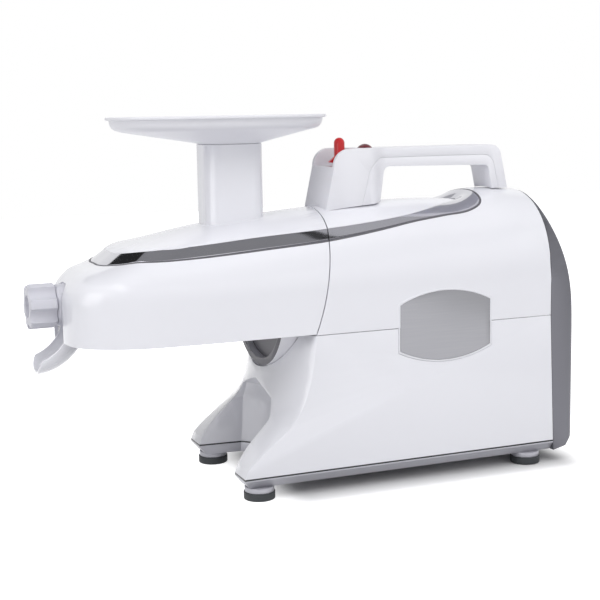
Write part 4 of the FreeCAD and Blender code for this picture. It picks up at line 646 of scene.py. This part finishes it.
print(OVER, "steps over the shoulder,", DOWN, "steps down")

# %% [markdown]
# Between the centres each row is a section straight out to the side. Its last column has to lie on
# the ball-shaped seam, and the seam's x depends on the row's own height, so each row is worked out
# a few times until both agree.

# %% Rows to the seam
ALONG = 72
SEAM_ROUNDS = 6


def side_row(x, floor_z):
    """A section straight out, from the band down to floor_z, with its own x for each point."""
    half = blend_rows(SKIN, x)[:, 0]
    band_y = np.interp(x, OUTER_LINE[:, 0], OUTER_LINE[:, 1]) + SEAT_GAP
    share = np.sin(np.linspace(0.0, math.pi / 2, SAMPLES))
    y = band_y[0] + (half[0] - band_y[0]) * share
    z = skin_z(np.full(SAMPLES, x[0]), y)
    run = np.r_[0.0, np.cumsum(np.hypot(np.diff(y), np.diff(z)))]
    part = np.interp(np.linspace(0.0, run[-1], OVER + 1), run, share)
    y = band_y + (half - band_y) * np.r_[part, np.ones(DOWN)]
    z = skin_z(x, y)
    z[OVER:] = SHOULDER_Z + (floor_z - SHOULDER_Z) * np.linspace(0.0, 1.0, DOWN + 1)
    return np.column_stack([x, y, z])


def side_to_seam(x_start, floor_z, offset):
    """Sections from the plane x_start to the seam, which is moved by the offset."""
    grid = []
    for f in np.linspace(0.0, 1.0, ALONG + 1):
        x = np.full(OVER + DOWN + 1, x_start)
        for _ in range(SEAM_ROUNDS):
            row = side_row(x, floor_z)
            x = x_start + f * (seam_x(row[:, 1], row[:, 2], offset) - x_start)
        row[:, 0] = x
        grid.append(row)
    return np.array(grid)


print(ALONG, "steps to the seam")

# %% [markdown]
# Each grid becomes a mesh. Points that meet are welded, so the light runs smoothly from one grid to
# the next and from one side of the machine to the other.

# %% Meshes from grids
WELD, SLIVER = 0.02, 0.01


def object_from(made, name):
    """A smooth-shaded object from an edited mesh, which is freed."""
    data = bpy.data.meshes.new(name)
    made.to_mesh(data)
    made.free()
    for polygon in data.polygons:
        polygon.use_smooth = True
    piece = bpy.data.objects.new(name, data)
    bpy.context.collection.objects.link(piece)
    return piece


def mesh_piece(name, grids, finish_name):
    """One smooth mesh from grids of points in millimetres; coincident points are joined."""
    made = bmesh.new()
    for grid in grids:
        verts = [[made.verts.new(Vector(point) * MM) for point in row] for row in grid]
        for here, there in zip(verts[:-1], verts[1:]):
            for j in range(len(here) - 1):
                made.faces.new([here[j], there[j], there[j + 1], here[j + 1]])
    bmesh.ops.remove_doubles(made, verts=made.verts, dist=WELD * MM)
    bmesh.ops.dissolve_degenerate(made, dist=SLIVER * MM, edges=made.edges)
    bmesh.ops.recalc_face_normals(made, faces=made.faces)
    piece = object_from(made, name)
    piece.data.materials.append(FINISHES[finish_name])
    return piece


def both_sides(grid):
    """A grid and its mirror image across the middle plane."""
    return [grid, grid[::-1] * np.array((1.0, -1.0, 1.0))]


print("mesh helpers ready")

# %% [markdown]
# A grid has no thickness yet. A solidify modifier gives a shell its wall, inwards from the skin,
# and a bevel softens the edges. Both stay as modifiers, so the grid itself is easy to change. The
# wall grows the right way only if all faces look outwards, so a helper turns them when they don't.

# %% Walls and soft edges
def round_edges(piece, width, segments=3, angle=35.0, thickness=None):
    """Wall thickness inwards, if asked for, then softened edges."""
    if thickness:
        solid = piece.modifiers.new("wall", "SOLIDIFY")
        solid.thickness = thickness * MM
        solid.offset = -1.0
        solid.use_even_offset = True
    bevel = piece.modifiers.new("edges", "BEVEL")
    bevel.width = width * MM
    bevel.segments = segments
    bevel.limit_method = "ANGLE"
    bevel.angle_limit = math.radians(angle)
    bevel.harden_normals = True


def outward(piece, inner_point):
    """Turns the faces so that they look away from a point inside, in millimetres."""
    made = bmesh.new()
    made.from_mesh(piece.data)
    inside = Vector(inner_point) * MM
    lean = sum((face.calc_center_median() - inside).dot(face.normal) * face.calc_area()
               for face in made.faces)
    if lean < 0:
        bmesh.ops.reverse_faces(made, faces=made.faces)
    made.to_mesh(piece.data)
    made.free()


print("wall", WALL)

# %% [markdown]
# ## Hood, side shell
# The hood is an upside-down boat over the gears. From the chrome band the skin rolls over the
# shoulder and runs straight down to a thin rim. Its nose has an arched opening for the outlet. The
# rays over the opening simply stop at the arch, which is cleaner than cutting a hole afterwards.

# %% Hood side shell
OPENING_HALF, OPENING_TOP_Z, ARCH_CORNER = 18.0, 184.6, 12.6
OPENING_RAYS, FLANK_RAYS = 13, 65
HOOD_SOFT = 0.7


def arch_z(y):
    """Height of the opening's edge at y: flat in the middle with rounded corners."""
    into = np.clip(np.abs(y) - (OPENING_HALF - ARCH_CORNER), 0.0, ARCH_CORNER)
    return OPENING_TOP_Z - ARCH_CORNER + math.sqrt(max(ARCH_CORNER**2 - into**2, 0.0))


opening_angle = math.atan2(OPENING_HALF, NOSE_CENTRE - NOSE_X)
flank = [down_to(HOOD_RIM_Z, ray)
         for ray in fan(NOSE_CENTRE, TO_NOSE, opening_angle, math.pi / 2, FLANK_RAYS)]
arch_steps = int(np.argmin(np.abs(flank[0][:, 2] - arch_z(OPENING_HALF))))
over_opening = []
for ray in fan(NOSE_CENTRE, TO_NOSE, 0.0, opening_angle, OPENING_RAYS)[:-1]:
    line = over_shoulder(ray, SAMPLES)
    over_opening.append(even_steps(line[line[:, 2] > arch_z(line[:, 1].max())], arch_steps))
over_opening.append(flank[0][:arch_steps + 1])
hood_run = side_to_seam(NOSE_CENTRE, HOOD_RIM_Z, -SEAM_HALF_GAP)
hood_run[0] = flank[-1]
hood_grids = [np.array(over_opening), np.array(flank), hood_run]
hood_side = mesh_piece("hood_side", sum(map(both_sides, hood_grids), []), "white_gloss")
outward(hood_side, (-100.0, 0.0, 150.0))
round_edges(hood_side, HOOD_SOFT, thickness=WALL)
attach(hood_side, "hood")
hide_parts("hood_shell")
print("hood side", len(hood_side.data.polygons), "faces")

# %% [markdown]
# ## Body, side shell
# Behind the seam the same skin goes on. It rolls round the tail of the chrome band, runs back to
# the joint with the grey rear cover, and comes down on both sides to the line where the base shell
# begins. Rays that end at the rear joint stop there, and rays that end at a side go on straight
# down.

# %% Body side shell
REAR_RAYS, CORNER_RAYS = 45, 29
BODY_SOFT = 0.6

body_floor_z = PARTING_Z + PARTING_HALF_GAP
rear_angle = math.atan2(SKIN[-1, 1], REAR_X - TAIL_CENTRE)
over_rear = [over_shoulder(ray) for ray in fan(TAIL_CENTRE, TO_TAIL, 0.0, rear_angle, REAR_RAYS)]
over_corner = [down_to(body_floor_z, ray)
               for ray in fan(TAIL_CENTRE, TO_TAIL, rear_angle, math.pi / 2, CORNER_RAYS)]
body_run = side_to_seam(TAIL_CENTRE, body_floor_z, SEAM_HALF_GAP)
body_run[0] = over_corner[-1]
body_grids = [np.array(over_rear), np.array(over_corner), body_run]
body_side = mesh_piece("body_side", sum(map(both_sides, body_grids), []), "white_gloss")
outward(body_side, (100.0, 0.0, 150.0))
round_edges(body_side, BODY_SOFT, thickness=WALL)
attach(body_side, "base")
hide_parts("body_upper_shell")
print("body side", len(body_side.data.polygons), "faces")

# %% [markdown]
# ## Chrome band
# The band is one bright strip that the seam cuts in two. Its outer edge follows the skin, a narrow
# groove inside its line, and its inner edge follows the top panel. The helpers give any line along
# the strip, and tell which part of it is on the hood and which on the body.

# %% Lines along the band
GROOVE = 0.8


def pulled_in(line, amount):
    """A plan line moved towards its inside by an amount."""
    slope = np.gradient(line, axis=0)
    length = np.hypot(slope[:, 0], slope[:, 1])
    return line + np.column_stack([slope[:, 1], -slope[:, 0]]) / length[:, None] * amount


def on_body(body, line, steps):
    """Where the hood's or the body's length of a line starts and stops, of its steps."""
    past_seam = line[:, 0] - seam_x(line[:, 1], line[:, 2])
    if body == "hood":
        return steps[0], np.interp(-SEAM_HALF_GAP, past_seam, steps)
    return np.interp(SEAM_HALF_GAP, past_seam, steps), steps[-1]


def band_line(share, across):
    """A line along the band's face; share runs from nose to tail, across from outer to inner."""
    count = np.linspace(0.0, 1.0, LINE_STEPS)
    rim, top = pulled_in(OUTER_LINE, GROOVE), INNER_LINE
    rim_x, rim_y = (np.interp(share, count, rim[:, k]) for k in (0, 1))
    top_x, top_y = (np.interp(share, count, top[:, k]) for k in (0, 1))
    x, y = rim_x + (top_x - rim_x) * across, rim_y + (top_y - rim_y) * across
    z = skin_z(rim_x, rim_y) * (1.0 - across) + crown_z(top_x, top_y) * across
    return np.column_stack([x, np.maximum(y, 0.0), z])


print("groove", GROOVE)

# %% [markdown]
# The strip is a grid between the two plan lines, flat across, with both edges rolled down. A flat
# strip mirrors the cards in clean patches, where a domed one would shrink each of them to a thin
# line.

# %% Chrome band
BAND_STEPS = 1200
# Share of the way across the strip, and the height above skin and panel there
ACROSS = (0.0, 0.0, 0.01, 0.03, 0.055, 0.08, 0.3, 0.5, 0.7, 0.92, 0.945, 0.97, 0.99, 1.0, 1.0)
RISE = (-1.8, -0.3, 0.0, 0.08, 0.11, 0.12, 0.12, 0.12, 0.12, 0.12, 0.11, 0.08, 0.0, -0.3, -1.8)

for name, body, node, count in (("hood_band", "hood", "hood_chrome", 90),
                                ("body_band", "base", "body_chrome", 80)):
    dense = np.linspace(0.0, 1.0, BAND_STEPS)
    grid = []
    for across, rise in zip(ACROSS, RISE):
        low, high = on_body(body, band_line(dense, across), dense)
        grid.append(band_line(np.linspace(low, high, count), across) + (0.0, 0.0, rise))
    band = mesh_piece(name, both_sides(np.array(grid)), "band_chrome")
    outward(band, (0.0, 0.0, 100.0))
    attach(band, body)
    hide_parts(node)
    print(name, len(band.data.polygons), "faces")

# %% [markdown]
# A snapped-in trim always shows a dark line of shade along its edge. Here a thin dark ridge lies in
# the groove between the band and the skin as painted shade. It is a low ridge that follows the
# band's outer line, so the dark line keeps its width all the way round.

# %% Painted shade round the band
# How far each edge of the ridge lies inside the band's outer line, and how high above the skin
GROOVE_SHADE_RIDGE = ((-0.85, -1.2), (-0.85, 0.06), (GROOVE, 0.06), (GROOVE, -1.2))
GROOVE_SHADE_STEPS = 160

for name, body in (("hood_groove_shade", "hood"), ("body_groove_shade", "base")):
    grid = []
    for inset, rise in GROOVE_SHADE_RIDGE:
        x, y = pulled_in(OUTER_LINE, inset).T
        line = np.column_stack([x, np.maximum(y, 0.0), skin_z(x, y) + rise])
        count = np.arange(len(line), dtype=float)
        at = np.linspace(*on_body(body, line, count), GROOVE_SHADE_STEPS)
        grid.append(np.column_stack([np.interp(at, count, line[:, k]) for k in range(3)]))
    # Painted shade: the ridge in the groove is dark.
    groove_shade = mesh_piece(name, both_sides(np.array(grid)), "dark_plastic")
    outward(groove_shade, (0.0, 0.0, 100.0))
    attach(groove_shade, body)
    print(name, len(groove_shade.data.polygons), "faces")

# %% [markdown]
# ## Outlet with its scoop
# Dry pulp leaves through a short cup on the chamber's nose. The cup is a turned part, so its wall
# is drawn once as a profile of lengths and radii and spun about the outlet's own line.

# %% Outlet cup
OUTLET_Z = 166.6
CHAMBER_FRONT_X, CUP_FRONT_X, BOSS_FRONT_X = -190.0, -202.0, -215.5
CUP_RADIUS, BOSS_RADIUS, STEM_HOLE, OUTLET_WALL = 20.0, 17.2, 4.08, 3.0
CUP_ROUND, BOSS_ROUND = 1.0, 2.0
SPIN_STEPS = 72


def turned(profile):
    """Grid of a closed profile of (x, radius) points spun about the outlet's line."""
    ring = profile + profile[:1]
    return np.array([[(x, r * math.cos(t), OUTLET_Z + r * math.sin(t)) for x, r in ring]
                     for t in np.linspace(0.0, 2 * math.pi, SPIN_STEPS + 1)])


def front_edge(x, r, size, steps=4):
    """Points of a profile's rounded front edge whose sharp corner is at (x, r)."""
    turns = [math.pi / 2 * k / steps for k in range(steps, -1, -1)]
    return [(x + size * (1 - math.sin(t)), r - size * (1 - math.cos(t))) for t in turns]


seat_x = CHAMBER_FRONT_X - SEAT_GAP
cup_inside_x, boss_inside_x = CUP_FRONT_X + OUTLET_WALL, BOSS_FRONT_X + OUTLET_WALL
cup_bore, boss_bore = CUP_RADIUS - OUTLET_WALL, BOSS_RADIUS - OUTLET_WALL
outlet_profile = [
    (BOSS_FRONT_X, STEM_HOLE), *front_edge(BOSS_FRONT_X, BOSS_RADIUS, BOSS_ROUND),
    (CUP_FRONT_X, BOSS_RADIUS), *front_edge(CUP_FRONT_X, CUP_RADIUS, CUP_ROUND),
    (seat_x, CUP_RADIUS), (seat_x, cup_bore), (cup_inside_x, cup_bore),
    (cup_inside_x, boss_bore), (boss_inside_x, boss_bore), (boss_inside_x, STEM_HOLE)]
# The cup is white plastic; the knob's grey on it is painted shade, for the shade between the knob
# and the hood.
outlet_cup = mesh_piece("outlet_cup", [turned(outlet_profile)], "grey_knob")
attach(outlet_cup, "base")
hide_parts("pulp_outlet")
print("outlet cup", len(outlet_cup.data.polygons), "faces")

# %% [markdown]
# The pulp drops off an open scoop with a rounded lip. The scoop is half a tube that bends down
# round a centre in front of the cup. It grows flatter towards its lip, and the lip is rounded by
# letting the middle of the trough run on further than its two rims.

# %% Outlet scoop
BEND_X, BEND_Z, BEND_RADIUS = -236.0, 158.0, 47.6
SCOOP_HALF, SCOOP_WALL, SCOOP_SOFT = 17.4, 2.4, 1.1
ROOT_ANGLE, TIP_ANGLE, LIP_BACK = math.radians(20.0), math.radians(87.0), math.radians(6.0)
ROOT_DEPTH, LIP_DEPTH, FLATTENING = 17.4, 13.0, 1.5
SCOOP_ROWS, SCOOP_COLUMNS = 40, 37


def scoop_point(along, round_it):
    """A point of the trough: along its bend, and round its half section from rim to rim."""
    short = 1.0 - math.cos(round_it)
    bend = ROOT_ANGLE + (TIP_ANGLE - LIP_BACK * short ** 2 - ROOT_ANGLE) * along
    out = BEND_RADIUS - (ROOT_DEPTH + (LIP_DEPTH - ROOT_DEPTH) * along**FLATTENING) * short
    y = SCOOP_HALF * math.sin(round_it)
    return (BEND_X + out * math.cos(bend), y, BEND_Z - out * math.sin(bend))


rim_to_rim = np.linspace(-math.pi / 2, math.pi / 2, SCOOP_COLUMNS)
scoop_grid = np.array([[scoop_point(along, turn) for turn in rim_to_rim]
                       for along in np.linspace(0.0, 1.0, SCOOP_ROWS)])
outlet_scoop = mesh_piece("outlet_scoop", [scoop_grid], "white_gloss")
outward(outlet_scoop, (BEND_X, 0.0, BEND_Z))
round_edges(outlet_scoop, SCOOP_SOFT, thickness=SCOOP_WALL)
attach(outlet_scoop, "base")
print("outlet scoop", len(outlet_scoop.data.polygons), "faces")

# %% [markdown]
# ## Hopper tray
# The tray is one moulded dish: a flat lip, a short wall that rolls into a sloping floor, and a
# spigot that stands in the chute. Two kinds of outline describe it all: an oval for the dish, and a
# rounded box for the spigot. Both have the same number of points, so a grid can pass from one to
# the other.

# %% Outlines of the tray
TRAY_X, TRAY_HALF, TRAY_OVAL = -71.0, (94.5, 61.0), 2.4
CHUTE_X, CHUTE_HALF, CHUTE_CORNER, CHUTE_TOP_Z = -61.0, (26.0, 20.5), 13.0, 294.0
OUTLINE_STEPS = 144
TURNS = np.linspace(0.0, 2 * math.pi, OUTLINE_STEPS + 1)


def oval(inset, z):
    """Points of an oval outline, a given way inside the tray's size."""
    a, b = TRAY_HALF[0] - inset, TRAY_HALF[1] - inset
    lengthways = np.abs(np.cos(TURNS) / a) ** TRAY_OVAL
    sideways = np.abs(np.sin(TURNS) / b) ** TRAY_OVAL
    far = (lengthways + sideways) ** (-1.0 / TRAY_OVAL)
    return np.column_stack([TRAY_X + far * np.cos(TURNS), far * np.sin(TURNS),
                            np.full(len(TURNS), z)])


def rounded_box(inset, z):
    """Points of the chute's outline, a given way inside it."""
    a, b, c = CHUTE_HALF[0] - inset, CHUTE_HALF[1] - inset, CHUTE_CORNER - inset
    outline = []
    for t in TURNS:
        dx, dy = abs(math.cos(t)), abs(math.sin(t))
        if dx > 1e-9 and a / dx * dy <= b - c:
            far = a / dx
        elif dy > 1e-9 and b / dy * dx <= a - c:
            far = b / dy
        else:
            middle = dx * (a - c) + dy * (b - c)
            far = middle + math.sqrt(max(middle**2 - (a - c)**2 - (b - c)**2 + c**2, 0.0))
        outline.append((CHUTE_X + far * math.cos(t), far * math.sin(t), z))
    return np.array(outline)


print(OUTLINE_STEPS, "steps round each outline")

# %% [markdown]
# The outlines are stacked in one closed row, each at its own height, and the grid between them is
# the tray. Reading them in order walks once round its wall: up the outside, over the lip, down the
# inside and through the spigot. So the wall needs no modifier, and its thickness can change along
# the way.

# %% Hopper tray
SPIGOT_FIT, SPIGOT_LENGTH, TRAY_WALL = 3.3, 12.0, 2.5
STEP_ROUND, FLOOR_RISE, THROAT_ROUND = 0.6, 2.2, 1.2
TRAY_SOFT = 0.4
# How far inside the tray's size each outline of the dish lies, and its height
DISH = ((13.5, 305.2), (9.5, 306.2), (7.0, 307.2), (5.2, 308.6), (4.0, 310.4), (3.3, 312.6),
        (3.0, 315.0), (2.6, 315.3), (0.7, 315.3), (0.2, 315.6), (0.0, 316.2), (0.0, 317.3),
        (0.2, 317.8), (0.7, 318.0), (4.2, 318.0), (4.7, 317.8), (5.0, 317.3), (5.4, 314.0),
        (6.4, 311.8), (8.4, 310.3), (11.5, 309.3))

foot_z = CHUTE_TOP_Z + SEAT_GAP
spigot_z = CHUTE_TOP_Z - SPIGOT_LENGTH
throat = SPIGOT_FIT + TRAY_WALL
tray_rows = [rounded_box(SPIGOT_FIT, spigot_z), rounded_box(SPIGOT_FIT, foot_z),
             rounded_box(STEP_ROUND, foot_z), rounded_box(0.0, foot_z + STEP_ROUND)]
tray_rows += [oval(inset, z) for inset, z in DISH]
tray_rows += [rounded_box(throat - THROAT_ROUND, foot_z + FLOOR_RISE + THROAT_ROUND),
              rounded_box(throat, foot_z + FLOOR_RISE), rounded_box(throat, spigot_z)]
tray_rows.append(tray_rows[0])
hopper = mesh_piece("hopper_dish", [np.array(tray_rows)], "white_satin")
outward(hopper, (TRAY_X, 0.0, 330.0))
round_edges(hopper, TRAY_SOFT, segments=2, angle=40.0)
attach(hopper, "tray")
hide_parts("hopper_tray")
print("tray", len(hopper.data.polygons), "faces")

# %% [markdown]
# ## Softened pieces
# No moulded or cast edge is as sharp as a drawing. Many pieces already have the right form in the
# frame, so each of them is copied, its flat faces are joined up, and its edges get a small rounding
# that catches the light. Modelling them anew could only lose their exact sizes. The copy stands in
# for the frame's piece and moves with the same body.

# %% Helper: a softened copy of a frame piece
BODIES = frame["record"]["behaviour"]["bodies"]
BODY_OF = {node: body for body, nodes in BODIES.items() for node in nodes}
COPY_WELD, COPY_SLIVER, FLAT_ANGLE = 0.004, 0.002, math.radians(0.6)


def copy_of(node):
    """A copy of a frame piece's mesh, welded, with its flat faces joined."""
    made = bmesh.new()
    made.from_mesh(NODES[node].data)
    bmesh.ops.remove_doubles(made, verts=made.verts, dist=COPY_WELD * MM)
    bmesh.ops.dissolve_degenerate(made, dist=COPY_SLIVER * MM, edges=made.edges)
    bmesh.ops.dissolve_limit(made, angle_limit=FLAT_ANGLE, verts=made.verts, edges=made.edges)
    piece = object_from(made, node + "_soft")
    piece.data.materials.append(NODES[node].data.materials[0])
    return piece


def softened(node, width):
    """The copy with rounded edges, in the place of the frame's piece."""
    piece = copy_of(node)
    round_edges(piece, width, segments=2, angle=30.0)
    piece.modifiers["edges"].use_clamp_overlap = True
    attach(piece, BODY_OF[node])
    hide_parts(node)
    print(node, len(piece.data.polygons), "faces")
    return piece


# %% [markdown]
# A rounding is about as wide as the real one: a bare millimetre on the large shells, half of that
# on small parts, and most on the handle's grip, which a hand has to hold in comfort.

# %% Softened pieces
SOFT_WIDTHS = {
    "base_shell": 1.0, "base_plate": 0.5, "rear_cover": 0.8, "clamp_collar": 0.8,
    "outlet_knob": 0.7, "foot_posts": 0.3, "foot_pads": 0.5, "badge_rims": 0.3,
    "mains_inlet": 0.5, "switch_body": 0.5, "switch_rocker": 0.4, "handle_outer": 1.2,
    "handle_inner": 2.2, "hood_crown": 0.5, "lock_lever": 0.4, "button_cap": 0.3}

soft = {node: softened(node, width) for node, width in SOFT_WIDTHS.items()}

# %% [markdown]
# The clamp collar's rim is white. Its dark grey face towards the chamber is painted shade, for the
# shadow inside the collar under the hood. The face is found by the way it looks, forwards. The
# badge plates lie on the skin, so their copy stands a hair further out.

# %% Collar face and badge plates
FACES_FORWARD = -0.9
BADGE_SOFT, BADGE_LIFT = 0.2, 0.15

collar_mesh = soft["clamp_collar"].data
# Painted shade: the collar's forward faces take the dark finish.
collar_mesh.materials.append(FINISHES["dark_plastic"])
for polygon in collar_mesh.polygons:
    if polygon.normal.x < FACES_FORWARD:
        polygon.material_index = 1
badge = softened("badge_plates", BADGE_SOFT)
for vertex in badge.data.vertices:
    vertex.co.y += math.copysign(BADGE_LIFT * MM, vertex.co.y)
print("badges lifted", BADGE_LIFT)

# %% [markdown]
# ## Sizes
# The dressed machine must stay as large as the imported one.

# %% End
print("end of the scene")
